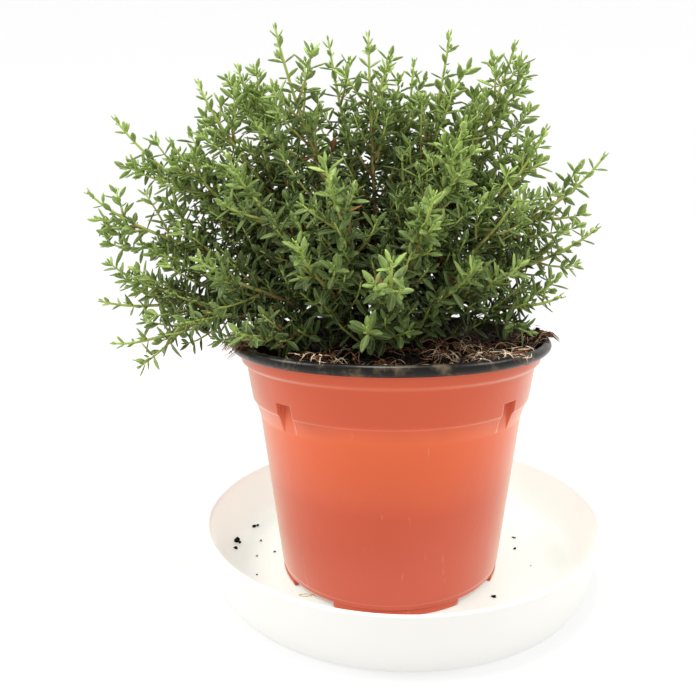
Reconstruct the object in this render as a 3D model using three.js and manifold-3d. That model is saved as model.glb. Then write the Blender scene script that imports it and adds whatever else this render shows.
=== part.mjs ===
// Thyme in a terracotta-coloured nursery pot that stands in a white saucer.
// Millimetres, +Z up. The origin is the middle of the saucer's underside and -Y is the front.
// The pot, its soil and the stems share the pot's own frame, which stands off the saucer's middle.
import * as THREE from "three";
import { mergeVertices } from "three/addons/utils/BufferGeometryUtils.js";
import Module from "manifold-3d";

const wasm = await Module();
wasm.setup();

const CLEARANCE = 0.3;
const UP = new THREE.Vector3(0, 0, 1);
const QUARTER = Math.PI / 2;

const SAUCER = { baseRadius: 80.2, rimRadius: 85, height: 24.2, floor: 2.4, wall: 1.8, facets: 44 };

const POT = {
  offsetX: -5.6, // the pot stands a little left of the saucer's middle and in front of it
  offsetY: -5.7,
  wall: 1.2,
  facets: 28,
  footRadius: 46.6,
  footTop: 4.5, // underside of the pot's floor
  wallRadius: 47.1, // lower edge of the plain wall
  wallZ: 7.2,
  shoulderRadius: 54.5, // top of the plain wall
  shoulderZ: 71.5,
  collarRadius: 57.3, // lower edge of the collar
  collarZ: 78.6,
  collarTopRadius: 59.3,
  bandRadius: 61.2, // lower edge of the band under the lip
  bandBottom: 94,
  bandTop: 97.8,
  lipRadius: 65.4,
  lipTop: 102.3,
};
// Low ribs round the pot's floor and, above the gaps between them, the collar's stacking lugs.
const FEET = { azimuths: [2.5, 92.5, 182.5, 272.5], arc: 62, thickness: 2 };
const LUG = { azimuths: [47.5, 137.5, 227.5, 317.5], width: 7, top: 83.4, depth: 2.2 };
const DRAIN = { radius: 3.5, ring: 30, azimuths: [60, 180, 300] };

const SOIL = { level: 92.4, halfWidth: 55, crownRise: 9, crownSpread: 24, rightRise: 4, depth: 6 };
const FIBRE = { count: 4, thickness: 0.42, shortest: 9, longest: 17 };
// Matted coir that the roots have lifted: two tufts lean over the lip and one lies inside it.
const TUFTS = [
  { x: -54, y: -17, z: 94, reach: 13, halfWidth: 9, halfHeight: 8.5, tilt: 18 },
  { x: 60, y: -3, z: 99, reach: 8, halfWidth: 8, halfHeight: 5.5, tilt: 14 },
  { x: 30, y: -34, z: 95.5, reach: 8, halfWidth: 15, halfHeight: 3.6, tilt: 8 },
];

// Every stem leans out from the crown's heart to its own tip. These tips are where the
// outermost and the foremost sprigs end; the rest fill the dome between and behind them.
const HEART = new THREE.Vector3(-3, 2, 82);
const TIPS = [
  [-43, -12, 218], [-26, 20, 223], [-9, 0, 219], [10, 25, 216], [23, 5, 221], [48, 0, 216],
  [59, -10, 183], [87, 5, 175], [84, 0, 146], [65, -20, 120], [-122, 0, 160], [-113, 10, 190],
  [-88, 0, 180], [-77, 5, 203], [-63, 14, 211], [-120, 0, 116], [-109, -16, 101],
  [-9, -54, 113], [-32, -52, 141], [-23, -46, 167], [13, -50, 156], [27, -47, 133],
  [-1, -60, 135], [24, -40, 181], [-69, -36, 135], [-54, -46, 110], [-58, -30, 170],
  [47, -25, 159], [46, -34, 133],
];
const FILL = { count: 8, halfWidth: 102, halfDepth: 84, height: 127, heart: [-15, 6, 90] };

const STEM = {
  baseReach: 37,
  baseGap: 6, // between the feet of two stems
  baseRadius: 1.1,
  tipRadius: 0.6,
  rings: 4,
  sides: 3,
  sway: 0.05, // sideways bend as a part of the length
};
const ROOM = 1; // how much fatter the space round a three-sided stem is than the stem
const NODE_STEP = 6.2; // from one pair of leaves to the next
const LEAF = { length: 8.6, halfWidth: 1.75, thickness: 0.7, widestAt: 0.48 };
const RIB = { halfWidth: 0.55, halfHeight: 0.72, leafRoll: 0.7, neck: 0.2 };
const LEAFY_NODES = 5; // pairs of leaves below a stem's tip
const SHOOTS = { nodes: [4, 8], pairs: 2, longest: 32, radius: 0.7 };

function seededDraw(seed) {
  let state = (seed * 7919 + 12345) % 2147483647;
  const draw = () => {
    state = (state * 16807) % 2147483647;
    return state / 2147483647;
  };
  draw();
  draw();
  return draw;
}

function spread(draw, low, high) {
  return low + (high - low) * draw();
}

function solidOf(geometry) {
  const bare = geometry.clone();
  bare.deleteAttribute("normal");
  bare.deleteAttribute("uv");
  const merged = mergeVertices(bare, 1e-4);
  const corners = merged.index.array;
  const kept = [];
  for (let i = 0; i < corners.length; i += 3) {
    const [a, b, c] = [corners[i], corners[i + 1], corners[i + 2]];
    if (a !== b && b !== c && c !== a) kept.push(a, b, c);
  }
  const vertProperties = new Float32Array(merged.attributes.position.array);
  return new wasm.Manifold(new wasm.Mesh({ numProp: 3, vertProperties, triVerts: new Uint32Array(kept) }));
}

function geometryOf(solid) {
  const { vertProperties, triVerts } = solid.getMesh();
  const geometry = new THREE.BufferGeometry();
  geometry.setAttribute("position", new THREE.BufferAttribute(new Float32Array(vertProperties), 3));
  geometry.setIndex(new THREE.BufferAttribute(new Uint32Array(triVerts), 1));
  return geometry;
}

function largestBody(solid) {
  return solid.decompose().reduce((best, part) => (part.volume() > best.volume() ? part : best));
}

// A closed lathe solid about +Z from [radius, z] points.
function turned(points, facets) {
  const profile = points.map(([radius, z]) => new THREE.Vector2(radius, z));
  return new THREE.LatheGeometry(profile, facets).rotateX(QUARTER);
}

function degrees(angle) {
  return THREE.MathUtils.degToRad(angle);
}

// A box with its inner face at the given radius, turned to an azimuth where 0 is the front.
function boxAt(azimuth, inner, outer, width, bottom, top) {
  const box = new THREE.BoxGeometry(width, outer - inner, top - bottom);
  box.translate(0, -(inner + outer) / 2, (bottom + top) / 2);
  return box.rotateZ(degrees(azimuth));
}

function saucerGeometry() {
  const { baseRadius, rimRadius, height, floor, wall, facets } = SAUCER;
  const lean = (rimRadius - baseRadius) / height;
  const outerAt = (z) => baseRadius + lean * z;
  const innerAt = (z) => outerAt(z) - wall;
  return turned(
    [
      [0, 0],
      [baseRadius - 1.2, 0],
      [outerAt(1.6), 1.6],
      [rimRadius - 0.2, height - 0.9],
      [rimRadius - 0.5, height - 0.15],
      [rimRadius - 1.2, height],
      [innerAt(height - 0.8), height - 0.8],
      [innerAt(8), 8],
      [innerAt(5) - 0.9, 4.6],
      [innerAt(3) - 3.6, floor],
      [0, floor],
    ],
    facets,
  );
}

// Outside of the wall from its foot to the top of the lip.
function outsideProfile() {
  const p = POT;
  return [
    [p.footRadius, p.footTop],
    [p.wallRadius, p.wallZ],
    [p.shoulderRadius, p.shoulderZ],
    [p.collarRadius - 0.7, p.collarZ - 0.6],
    [p.collarRadius, p.collarZ],
    [p.collarTopRadius, p.bandBottom - 1.5],
    [p.bandRadius, p.bandBottom],
    [p.bandRadius + 0.7, p.bandTop],
    [p.lipRadius - 1.2, p.bandTop + 0.3],
    [p.lipRadius, p.bandTop + 2.2],
    [p.lipRadius - 0.5, p.lipTop - 0.8],
    [p.lipRadius - 1.8, p.lipTop],
  ];
}

// Inside of the wall from lip to floor, moved in by `gap` to leave room round the soil.
function hollowProfile(gap) {
  const p = POT;
  const inner = p.wall + gap;
  return [
    [p.lipRadius - 3.4 - gap, p.lipTop - 0.5],
    [p.bandRadius - inner, p.bandBottom + 2],
    [p.collarTopRadius - inner, p.bandBottom + 0.2],
    [p.collarRadius - inner, p.collarZ + 0.6],
    [p.shoulderRadius - inner, p.shoulderZ],
    [p.wallRadius - inner, p.wallZ + 0.4],
    [p.footRadius - inner, p.footTop + inner],
    [0, p.footTop + inner],
  ];
}

// The stacking lugs are pressed inwards: a pocket outside and a boss inside.
function lugPocket(azimuth) {
  const inner = POT.collarRadius - LUG.depth;
  return solidOf(boxAt(azimuth, inner, POT.lipRadius, LUG.width, POT.shoulderZ, LUG.top));
}

function lugBoss(azimuth, grow) {
  const inner = POT.collarRadius - LUG.depth - POT.wall - grow;
  const width = LUG.width + 2 * (POT.wall + grow);
  const top = LUG.top + POT.wall + grow;
  const back = boxAt(azimuth, inner, inner + POT.wall + grow, width, POT.collarZ - 3.4 - grow, top);
  const sides = boxAt(azimuth, inner, POT.collarTopRadius, width, POT.collarZ - 0.4, top);
  return solidOf(back).add(solidOf(sides));
}

function footRib(azimuth) {
  const half = degrees(FEET.arc / 2);
  const shape = new THREE.Shape();
  const middle = degrees(azimuth) - QUARTER;
  shape.absarc(0, 0, POT.footRadius, middle - half, middle + half, false);
  shape.absarc(0, 0, POT.footRadius - FEET.thickness, middle + half, middle - half, true);
  shape.closePath();
  const height = POT.footTop + 0.4 - SAUCER.floor;
  const rib = new THREE.ExtrudeGeometry(shape, { depth: height, bevelEnabled: false, curveSegments: 4 });
  return solidOf(rib.translate(0, 0, SAUCER.floor));
}

function drainHole(azimuth) {
  const hole = new THREE.CylinderGeometry(DRAIN.radius, DRAIN.radius, 4, 8).rotateX(QUARTER);
  hole.translate(0, -DRAIN.ring, POT.footTop);
  return solidOf(hole.rotateZ(degrees(azimuth)));
}

function potSolid() {
  const outside = outsideProfile();
  const floor = [0, POT.footTop];
  const shell = solidOf(turned([floor, ...outside, ...hollowProfile(0)], POT.facets));
  const blank = solidOf(turned([floor, ...outside, [0, POT.lipTop]], POT.facets));
  const bosses = wasm.Manifold.union(LUG.azimuths.map((azimuth) => lugBoss(azimuth, 0))).intersect(blank);
  const ribs = FEET.azimuths.map(footRib);
  const pockets = LUG.azimuths.map(lugPocket);
  const drains = DRAIN.azimuths.map(drainHole);
  const joined = wasm.Manifold.union([shell, bosses, ...ribs]);
  return joined.subtract(wasm.Manifold.union([...pockets, ...drains]));
}

// Low waves in the soil's surface, in millimetres.
function bump(x, y) {
  const coarse = Math.sin(x * 0.31 + y * 0.12) * Math.sin(y * 0.27 - x * 0.07);
  return coarse + 0.6 * Math.sin(x * 0.55 + 1.3) * Math.cos(y * 0.49);
}

function soilHeight(x, y) {
  const heap = Math.exp(-(x * x + y * y) / (2 * SOIL.crownSpread * SOIL.crownSpread));
  return SOIL.level + SOIL.crownRise * heap + (SOIL.rightRise * x) / SOIL.halfWidth + 1.1 * bump(x, y);
}

// The soil fills the pot up to a heap whose rings follow soilHeight.
function soilBody() {
  const sunk = hollowProfile(CLEARANCE + 0.2).slice(3).reverse();
  const edge = POT.collarTopRadius - POT.wall - 1.1;
  const top = [0.995, 0.82, 0.64, 0.44, 0.22, 0].map((part) => [part * edge, null]);
  const rings = [...sunk, [edge, SOIL.level - 3.2], ...top];
  const geometry = turned(rings.map(([radius, z]) => [radius, z ?? 0]), POT.facets);
  const { position } = geometry.attributes;
  for (let i = 0; i < position.count; i += 1) {
    if (rings[i % rings.length][1] === null) position.setZ(i, soilHeight(position.getX(i), position.getY(i)));
  }
  return solidOf(geometry);
}

function fibre(index) {
  const draw = seededDraw(500 + index);
  const azimuth = spread(draw, -2.5, 0.9);
  const radius = spread(draw, 30, 50);
  const heading = spread(draw, 0, Math.PI);
  const length = spread(draw, FIBRE.shortest, FIBRE.longest);
  const x = radius * Math.cos(azimuth);
  const y = radius * Math.sin(azimuth);
  const reach = new THREE.Vector3(Math.cos(heading), Math.sin(heading), spread(draw, -0.15, 0.15));
  const middle = new THREE.Vector3(x, y, soilHeight(x, y) + 0.3);
  const ends = [-0.5, 0.5].map((part) => middle.clone().addScaledVector(reach, part * length));
  return solidOf(taperedStem(ends, [FIBRE.thickness, FIBRE.thickness], UP, 3));
}

function tuft({ x, y, z, reach, halfWidth, halfHeight, tilt }) {
  const lump = new THREE.IcosahedronGeometry(1, 1).scale(reach, halfWidth, halfHeight);
  lump.rotateY(-degrees(tilt)).rotateZ(Math.atan2(y, x));
  return solidOf(lump.translate(x, y, z));
}

// Where soil may lie: inside the pot's hollow, clear of the wall, or above its lip.
function soilRoom() {
  const above = POT.lipTop + CLEARANCE;
  const inside = hollowProfile(CLEARANCE).reverse();
  const outside = [
    [POT.lipRadius - 3.7, above],
    [POT.lipRadius + 14, above],
    [POT.lipRadius + 14, above + 20],
    [0, above + 20],
  ];
  return turned([...inside, ...outside], POT.facets);
}

function soilSolid(stems) {
  const fibres = Array.from({ length: FIBRE.count }, (_, index) => fibre(index));
  const heap = wasm.Manifold.union([soilBody(), ...fibres, ...TUFTS.map(tuft)]);
  const lugs = wasm.Manifold.union(LUG.azimuths.map((azimuth) => lugBoss(azimuth, CLEARANCE)));
  const holes = wasm.Manifold.union(stems.map(stemHole));
  const soil = heap.intersect(solidOf(soilRoom())).subtract(lugs).subtract(holes);
  return largestBody(soil);
}

// A closed tube through rings of the given radii; every ring has one corner towards `side`.
function taperedStem(points, radii, side, sides) {
  const position = [];
  const index = [];
  points.forEach((point, i) => {
    const along = points[Math.min(i + 1, points.length - 1)].clone().sub(points[Math.max(i - 1, 0)]);
    const [across, over] = crossAxes(along.normalize(), side);
    for (let k = 0; k < sides; k += 1) {
      const turn = (2 * Math.PI * k) / sides;
      const corner = point.clone().addScaledVector(across, radii[i] * Math.cos(turn));
      position.push(...corner.addScaledVector(over, radii[i] * Math.sin(turn)).toArray());
    }
  });
  for (let i = 0; i + 1 < points.length; i += 1) {
    for (let k = 0; k < sides; k += 1) {
      const [a, b] = [i * sides + k, i * sides + ((k + 1) % sides)];
      index.push(a, b, b + sides, a, b + sides, a + sides);
    }
  }
  const last = (points.length - 1) * sides;
  for (let k = 1; k + 1 < sides; k += 1) index.push(0, k + 1, k, last, last + k, last + k + 1);
  const geometry = new THREE.BufferGeometry();
  geometry.setAttribute("position", new THREE.Float32BufferAttribute(position, 3));
  geometry.setIndex(index);
  return geometry;
}

// Two axes across `along`: the first as near to `side` as it can be.
function crossAxes(along, side) {
  const across = side.clone().addScaledVector(along, -side.dot(along)).normalize();
  return [across, along.clone().cross(across)];
}

function fillTips() {
  const [x0, y0, z0] = FILL.heart;
  return Array.from({ length: FILL.count }, (_, index) => {
    const draw = seededDraw(900 + index);
    const azimuth = degrees(12 + (156 * ((index * 0.618) % 1)) + spread(draw, -6, 6));
    const tilt = degrees(28 + (56 * (index + 0.5)) / FILL.count);
    const swell = spread(draw, 0.9, 1.02);
    const flat = Math.sin(tilt) * swell;
    return [
      x0 + FILL.halfWidth * flat * Math.cos(azimuth),
      y0 + FILL.halfDepth * flat * Math.sin(azimuth),
      z0 + FILL.height * Math.cos(tilt) * swell,
    ];
  });
}

// Feet of the stems: the more a stem leans, the further out it stands, and none touch.
function stemFeet(tips) {
  const feet = tips.map((tip) => {
    const lean = tip.clone().sub(HEART);
    const azimuth = Math.atan2(lean.y, lean.x);
    const reach = (STEM.baseReach * Math.acos(lean.z / lean.length())) / QUARTER;
    return new THREE.Vector2(HEART.x + reach * Math.cos(azimuth), HEART.y + reach * Math.sin(azimuth));
  });
  for (let round = 0; round < 40; round += 1) {
    for (let i = 0; i < feet.length; i += 1) {
      for (let j = 0; j < i; j += 1) pushApart(feet[i], feet[j], STEM.baseGap);
    }
  }
  return feet;
}

function pushApart(one, other, gap) {
  const away = one.clone().sub(other);
  const short = gap - away.length();
  if (short <= 0) return;
  away.normalize();
  one.addScaledVector(away, short / 2);
  other.addScaledVector(away, -short / 2);
}

function makeStem(tip, foot, number) {
  const draw = seededDraw(number);
  const ground = new THREE.Vector3(foot.x, foot.y, soilHeight(foot.x, foot.y));
  const lean = tip.clone().sub(ground);
  const length = lean.length();
  const outward = new THREE.Vector3(lean.x, lean.y, 0).normalize();
  const sideways = UP.clone().cross(outward);
  const tilt = Math.acos(lean.z / length);
  const tipTilt = tilt * (0.72 + 0.3 * (tilt / QUARTER) ** 2);
  const rise = outward.clone().multiplyScalar(0.3 * Math.sin(tilt)).add(UP).normalize();
  const ending = outward.clone().multiplyScalar(Math.sin(tipTilt)).addScaledVector(UP, Math.cos(tipTilt));
  const sway = spread(draw, -STEM.sway, STEM.sway) * length;
  const arch = 0.36 + 0.3 * (tilt / QUARTER) ** 6; // a low stem still climbs over the lip first
  const bend = ground.clone().addScaledVector(rise, arch * length);
  const late = tip.clone().addScaledVector(ending, -0.33 * length).addScaledVector(sideways, sway);
  const curve = new THREE.CubicBezierCurve3(ground, bend, late, tip);
  const twist = spread(draw, 0, Math.PI);
  return { number, curve, ground, rise, sideways, length: curve.getLength(), twist };
}

function stemHole(stem) {
  const bottom = stem.ground.clone().addScaledVector(stem.rise, -SOIL.depth - CLEARANCE);
  const top = stem.ground.clone().addScaledVector(stem.rise, 6);
  const radius = STEM.baseRadius + 2.2 * CLEARANCE;
  return solidOf(taperedStem([bottom, top], [radius, radius], stem.sideways, STEM.sides));
}

// The bare stem from its foot in the soil up to `part` of its length, fatter by `grow`.
function stemSolid(stem, part, grow) {
  const points = [stem.ground.clone().addScaledVector(stem.rise, -SOIL.depth)];
  const radii = [STEM.baseRadius + grow];
  for (let i = 0; i <= STEM.rings; i += 1) {
    points.push(stem.curve.getPointAt((part * i) / STEM.rings));
    radii.push(STEM.baseRadius + grow + (STEM.tipRadius - STEM.baseRadius) * (i / STEM.rings));
  }
  return solidOf(taperedStem(points, radii, stem.sideways, STEM.sides));
}

// How far along a stem the pair of leaves is that is `node` steps down from the tip.
function nodePart(length, node) {
  return Math.max(1 - (2.5 + node * NODE_STEP) / length, 0.02);
}

function nodeOn(curve, length, sideways, node) {
  const part = nodePart(length, node);
  const along = curve.getTangentAt(part);
  const [across, over] = crossAxes(along, sideways);
  return { place: curve.getPointAt(part), along, across, over };
}

function turnedFrame({ place, along, across, over }, turn) {
  const side = across.clone().multiplyScalar(Math.cos(turn)).addScaledVector(over, Math.sin(turn));
  return { place, along, across: side, over: along.clone().cross(side) };
}

// A leaf in the plane of its stem: out from the rib, forward by `tilt`, rolled round the stem.
function makeLeaf({ place, along, across, over }, side, roll, tilt, size) {
  const out = across.clone().multiplyScalar(side * Math.cos(roll));
  out.addScaledVector(over, side * Math.sin(roll));
  const reach = along.clone().multiplyScalar(Math.cos(tilt)).addScaledVector(out, Math.sin(tilt));
  const wide = along.clone().multiplyScalar(Math.sin(tilt)).addScaledVector(out, -Math.cos(tilt));
  const length = LEAF.length * size;
  const middle = place.clone().addScaledVector(reach, length * LEAF.widestAt);
  return {
    root: place.clone(),
    tip: place.clone().addScaledVector(reach, length),
    near: middle.clone().addScaledVector(wide, -LEAF.halfWidth * size),
    far: middle.clone().addScaledVector(wide, LEAF.halfWidth * size),
    reach,
    wide,
  };
}

function leafPair(frame, draw, node) {
  const roll = (node % 2 ? -1 : 1) * RIB.leafRoll + spread(draw, -0.15, 0.15);
  return [1, -1].map((side) => {
    const tilt = Math.min(0.85 + 0.12 * node, 1.3) + spread(draw, -0.12, 0.12);
    const size = Math.min(0.84 + 0.1 * node, 1) * spread(draw, 0.92, 1.08);
    return makeLeaf(frame, side, roll, tilt, size);
  });
}

// The space that a leaf takes, a little fatter than it is, so that neighbours keep a gap.
function leafRoom({ root, tip, near, far, reach, wide }) {
  const thick = reach.clone().cross(wide).multiplyScalar(LEAF.thickness / 2 + CLEARANCE);
  const middle = near.clone().add(far).multiplyScalar(0.5);
  const ring = [
    root,
    near.clone().addScaledVector(wide, -CLEARANCE),
    tip.clone().addScaledVector(reach, CLEARANCE),
    far.clone().addScaledVector(wide, CLEARANCE),
  ];
  const corners = [...ring, middle.clone().add(thick), middle.clone().sub(thick)];
  const geometry = new THREE.BufferGeometry().setFromPoints(corners);
  geometry.setIndex([0, 1, 2, 3].flatMap((i) => [4, (i + 1) % 4, i, 5, i, (i + 1) % 4]));
  return solidOf(geometry);
}

// Bodies already standing, each with the box round it, so that a new leaf can keep clear.
const standing = [];

function stand(points, body, number) {
  standing.push({ number, body, box: new THREE.Box3().setFromPoints(points).expandByScalar(CLEARANCE) });
}

function meetsAnother(points, body, number) {
  const box = new THREE.Box3().setFromPoints(points);
  const others = standing.filter((other) => other.number !== number && other.box.intersectsBox(box));
  return others.some((other) => !other.body.intersect(body).isEmpty());
}

function outerLine({ root, tip }) {
  return new THREE.Line3(root.clone().lerp(tip, 0.35), tip);
}

// Smallest distance between two short lines, by walking along the first.
function lineGap(one, other) {
  const probe = new THREE.Vector3();
  const near = new THREE.Vector3();
  let least = Infinity;
  for (let i = 0; i <= 6; i += 1) {
    one.at(i / 6, probe);
    other.closestPointToPoint(probe, true, near);
    least = Math.min(least, near.distanceTo(probe));
  }
  return least;
}

// The leaf itself, or null where it would cross another stem's leaves, the pot or the soil.
function clearLeaf(leaf, number, kept) {
  const corners = [leaf.root, leaf.tip, leaf.near, leaf.far];
  const room = leafRoom(leaf);
  if (kept.some((other) => lineGap(outerLine(leaf), outerLine(other)) < 1.2)) return null;
  if (meetsAnother(corners, room, number)) return null;
  kept.push(leaf);
  stand(corners, room, number);
  return leaf;
}

// A leafy twig as one closed lens: its rib is thick, its outline runs out along every leaf.
// `pairs` go from the foot to the tip; each holds its frame and a leaf, or null, to either side.
function twigSolid(foot, pairs, end) {
  const corners = [];
  const index = [];
  const corner = (point) => corners.push(point) - 1;
  const face = (a, b, c) => index.push(a, b, c);
  const peak = corner(end);
  let left = corner(foot);
  let right = left;
  let last = null;
  pairs.forEach(({ frame, leaves }, j) => {
    const { place, over } = frame;
    const top = corner(place.clone().addScaledVector(over, RIB.halfHeight));
    const bottom = corner(place.clone().addScaledVector(over, -RIB.halfHeight));
    if (last) {
      face(last.top, top, left);
      face(last.top, right, top);
      face(last.bottom, left, bottom);
      face(last.bottom, bottom, right);
    }
    const isLast = j + 1 === pairs.length;
    const edges = isLast ? [] : ribEdges(frame, pairs[j + 1].frame);
    const ahead = isLast ? [[peak], [peak]] : edges.map((edge) => edge.map(corner));
    const chains = [left, right].map((start, side) => {
      const leaf = leaves[side];
      return [start, ...(leaf ? [leaf.near, leaf.tip, leaf.far].map(corner) : []), ...ahead[side]];
    });
    for (let i = 0; i + 1 < chains[0].length; i += 1) {
      face(top, chains[0][i + 1], chains[0][i]);
      face(bottom, chains[0][i], chains[0][i + 1]);
    }
    for (let i = 0; i + 1 < chains[1].length; i += 1) {
      face(top, chains[1][i], chains[1][i + 1]);
      face(bottom, chains[1][i + 1], chains[1][i]);
    }
    [left, right] = ahead.map((edge) => edge.at(-1));
    last = { top, bottom };
  });
  const geometry = new THREE.BufferGeometry().setFromPoints(corners);
  geometry.setIndex(index);
  return solidOf(geometry);
}

// Both edges of the bare rib between two pairs of leaves, each from the lower pair to the upper.
function ribEdges(one, other) {
  return [1, -1].map((side) =>
    [RIB.neck, 1 - RIB.neck].map((part) => {
      const middle = one.place.clone().lerp(other.place, part);
      return middle.addScaledVector(one.across, side * RIB.halfWidth);
    }),
  );
}

function twig(curve, stem, nodes, seed, kept) {
  const length = curve.getLength();
  const frameAt = (node) => turnedFrame(nodeOn(curve, length, stem.sideways, node), stem.twist);
  const pairs = Array.from({ length: nodes }, (_, i) => {
    const node = nodes - 1 - i;
    const frame = frameAt(node);
    const draw = seededDraw(seed + node);
    return { frame, leaves: leafPair(frame, draw, node).map((leaf) => clearLeaf(leaf, stem.number, kept)) };
  });
  return twigSolid(frameAt(nodes - 0.45).place, pairs, curve.getPointAt(1));
}

function shootCurve(frame, draw, node) {
  const side = draw() < 0.5 ? 1 : -1;
  const { reach } = makeLeaf(frame, side, spread(draw, -1.2, 1.2), spread(draw, 0.7, 0.95), 1);
  const length = Math.min(14 + 2.2 * node, SHOOTS.longest) * spread(draw, 0.8, 1.05);
  const bend = frame.place.clone().addScaledVector(reach, 0.55 * length);
  const end = bend.clone().addScaledVector(reach, 0.25 * length).addScaledVector(frame.along, 0.22 * length);
  return new THREE.QuadraticBezierCurve3(frame.place, bend, end);
}

function shoot(stem, node, kept) {
  const draw = seededDraw(stem.number * 100 + 50 + node);
  const frame = turnedFrame(nodeOn(stem.curve, stem.length, stem.sideways, node), stem.twist);
  const curve = shootCurve(frame, draw, node);
  const length = curve.getLength();
  const nodes = Math.min(SHOOTS.pairs, Math.floor((length - 4) / NODE_STEP));
  const line = [0, nodePart(length, nodes - 0.85), 1].map((part) => curve.getPointAt(part));
  const stalkTo = (count, radius) => {
    const radii = Array(count).fill(radius);
    return solidOf(taperedStem(line.slice(0, count), radii, stem.sideways, STEM.sides));
  };
  const room = stalkTo(3, SHOOTS.radius + ROOM);
  if (meetsAnother(line, room, stem.number)) return [];
  stand(line, room, stem.number);
  return [stalkTo(2, SHOOTS.radius), twig(curve, stem, nodes, stem.number * 1000 + 100 + node * 10, kept)];
}

function sprigGeometry(stem) {
  const kept = [];
  const leafy = twig(stem.curve, stem, LEAFY_NODES, stem.number * 1000, kept);
  const shoots = SHOOTS.nodes.flatMap((node) => shoot(stem, node, kept));
  return geometryOf(largestBody(wasm.Manifold.union([stem.wood, leafy, ...shoots])));
}

function named(name, geometry, color, roughness) {
  geometry.computeVertexNormals();
  const material = new THREE.MeshStandardMaterial({ color, roughness, metalness: 0 });
  const mesh = new THREE.Mesh(geometry, material);
  mesh.name = name;
  return mesh;
}

function plantedPot() {
  const group = new THREE.Group();
  group.position.set(POT.offsetX, POT.offsetY, 0);
  const tips = [...TIPS, ...fillTips()].map((tip) => new THREE.Vector3(...tip));
  const feet = stemFeet(tips);
  const stems = tips.map((tip, index) => makeStem(tip, feet[index], index + 1));
  const pot = potSolid();
  const soil = soilSolid(stems);
  for (const body of [pot, soil]) {
    const { min, max } = body.boundingBox();
    stand([new THREE.Vector3(...min), new THREE.Vector3(...max)], body, 0);
  }
  for (const stem of stems) {
    stem.wood = stemSolid(stem, nodePart(stem.length, LEAFY_NODES - 0.85), 0);
    stand([stem.ground, ...stem.curve.getPoints(8)], stemSolid(stem, 1, ROOM), stem.number);
  }
  group.add(named("pot", geometryOf(pot), "#c95a34", 0.45));
  group.add(named("soil", geometryOf(soil), "#2a1d16", 0.95));
  for (const stem of stems) {
    const name = `thyme_stem_${String(stem.number).padStart(2, "0")}`;
    group.add(named(name, sprigGeometry(stem), "#5d8a35", 0.6));
  }
  return group;
}

const pottedThyme = new THREE.Group();
pottedThyme.add(named("saucer", saucerGeometry(), "#f2f1ec", 0.35));
pottedThyme.add(plantedPot());

export default pottedThyme;
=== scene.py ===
"""Looks of a thyme plant in a terracotta-coloured nursery pot that stands in a white saucer.

Sizes are in millimetres and are turned to metres where a mesh is made. The pot, its soil and its
stems share the pot's own frame, which stands off the saucer's middle.
"""
import math

import bpy
import numpy as np
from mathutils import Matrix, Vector, noise


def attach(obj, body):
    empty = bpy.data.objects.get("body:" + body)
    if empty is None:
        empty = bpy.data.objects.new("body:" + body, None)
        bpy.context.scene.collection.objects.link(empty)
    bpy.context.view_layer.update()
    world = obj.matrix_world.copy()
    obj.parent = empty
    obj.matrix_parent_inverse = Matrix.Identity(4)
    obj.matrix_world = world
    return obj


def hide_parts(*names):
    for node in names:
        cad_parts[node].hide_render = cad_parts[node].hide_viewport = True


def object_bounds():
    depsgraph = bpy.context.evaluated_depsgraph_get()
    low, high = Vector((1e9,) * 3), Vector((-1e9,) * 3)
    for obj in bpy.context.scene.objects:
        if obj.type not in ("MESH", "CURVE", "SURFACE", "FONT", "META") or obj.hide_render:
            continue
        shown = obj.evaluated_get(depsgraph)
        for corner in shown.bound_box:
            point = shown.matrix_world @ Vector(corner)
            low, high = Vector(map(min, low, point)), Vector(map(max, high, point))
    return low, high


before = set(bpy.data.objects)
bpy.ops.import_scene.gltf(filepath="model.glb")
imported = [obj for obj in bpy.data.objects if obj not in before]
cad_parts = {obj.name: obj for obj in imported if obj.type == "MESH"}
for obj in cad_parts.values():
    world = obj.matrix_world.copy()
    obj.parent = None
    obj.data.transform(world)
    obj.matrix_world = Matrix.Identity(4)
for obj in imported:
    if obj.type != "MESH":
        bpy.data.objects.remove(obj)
cad_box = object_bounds()

METRES_PER_MM = 0.001
UP = Vector((0, 0, 1))
QUARTER = math.pi / 2
FULL_TURN = 2 * math.pi

# The same driving sizes as the solids have.
SAUCER = {
    "base_radius": 80.2, "rim_radius": 85.0, "height": 24.2, "floor": 2.4, "wall": 1.8, "around": 168,
}
SAUCER_LEAN = (SAUCER["rim_radius"] - SAUCER["base_radius"]) / SAUCER["height"]
POT = {
    "offset": (-5.6, -5.7), "wall": 1.2, "foot_radius": 46.6, "foot_top": 4.5, "wall_radius": 47.1,
    "wall_z": 7.2, "shoulder_radius": 54.5, "shoulder_z": 71.5, "collar_radius": 57.3,
    "collar_z": 78.6, "collar_top_radius": 59.3, "band_radius": 61.2, "band_bottom": 94.0,
    "band_top": 97.8, "lip_radius": 65.4, "lip_top": 102.3, "around": 150,
}
LIP_INSIDE = POT["lip_radius"] - 3.4
FEET = {"azimuths": (2.5, 92.5, 182.5, 272.5), "arc": 62.0, "thickness": 2.0, "bevel": 0.3}
LUG = {
    "azimuths": (47.5, 137.5, 227.5, 317.5), "width": 7.0, "top": 83.4, "depth": 2.2, "top_bevel": 0.35,
    "side_bevel": 0.3, "side_softness": 0.25,
}
SOIL = {
    "level": 92.4, "half_width": 55.0, "crown_rise": 9.0, "crown_spread": 24.0, "right_rise": 4.0,
    "waves": 1.1, "lump": 9, "lump_rise": 1.3, "crumb": 2.4, "crumb_rise": 0.45,
}
TUFTS = (
    {"x": -54, "y": -17, "z": 94, "reach": 13, "half_width": 9, "half_height": 8.5, "tilt": 18},
    {"x": 60, "y": -3, "z": 99, "reach": 8, "half_width": 8, "half_height": 5.5, "tilt": 14},
    {"x": 30, "y": -34, "z": 95.5, "reach": 8, "half_width": 15, "half_height": 3.6, "tilt": 8},
)
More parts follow.
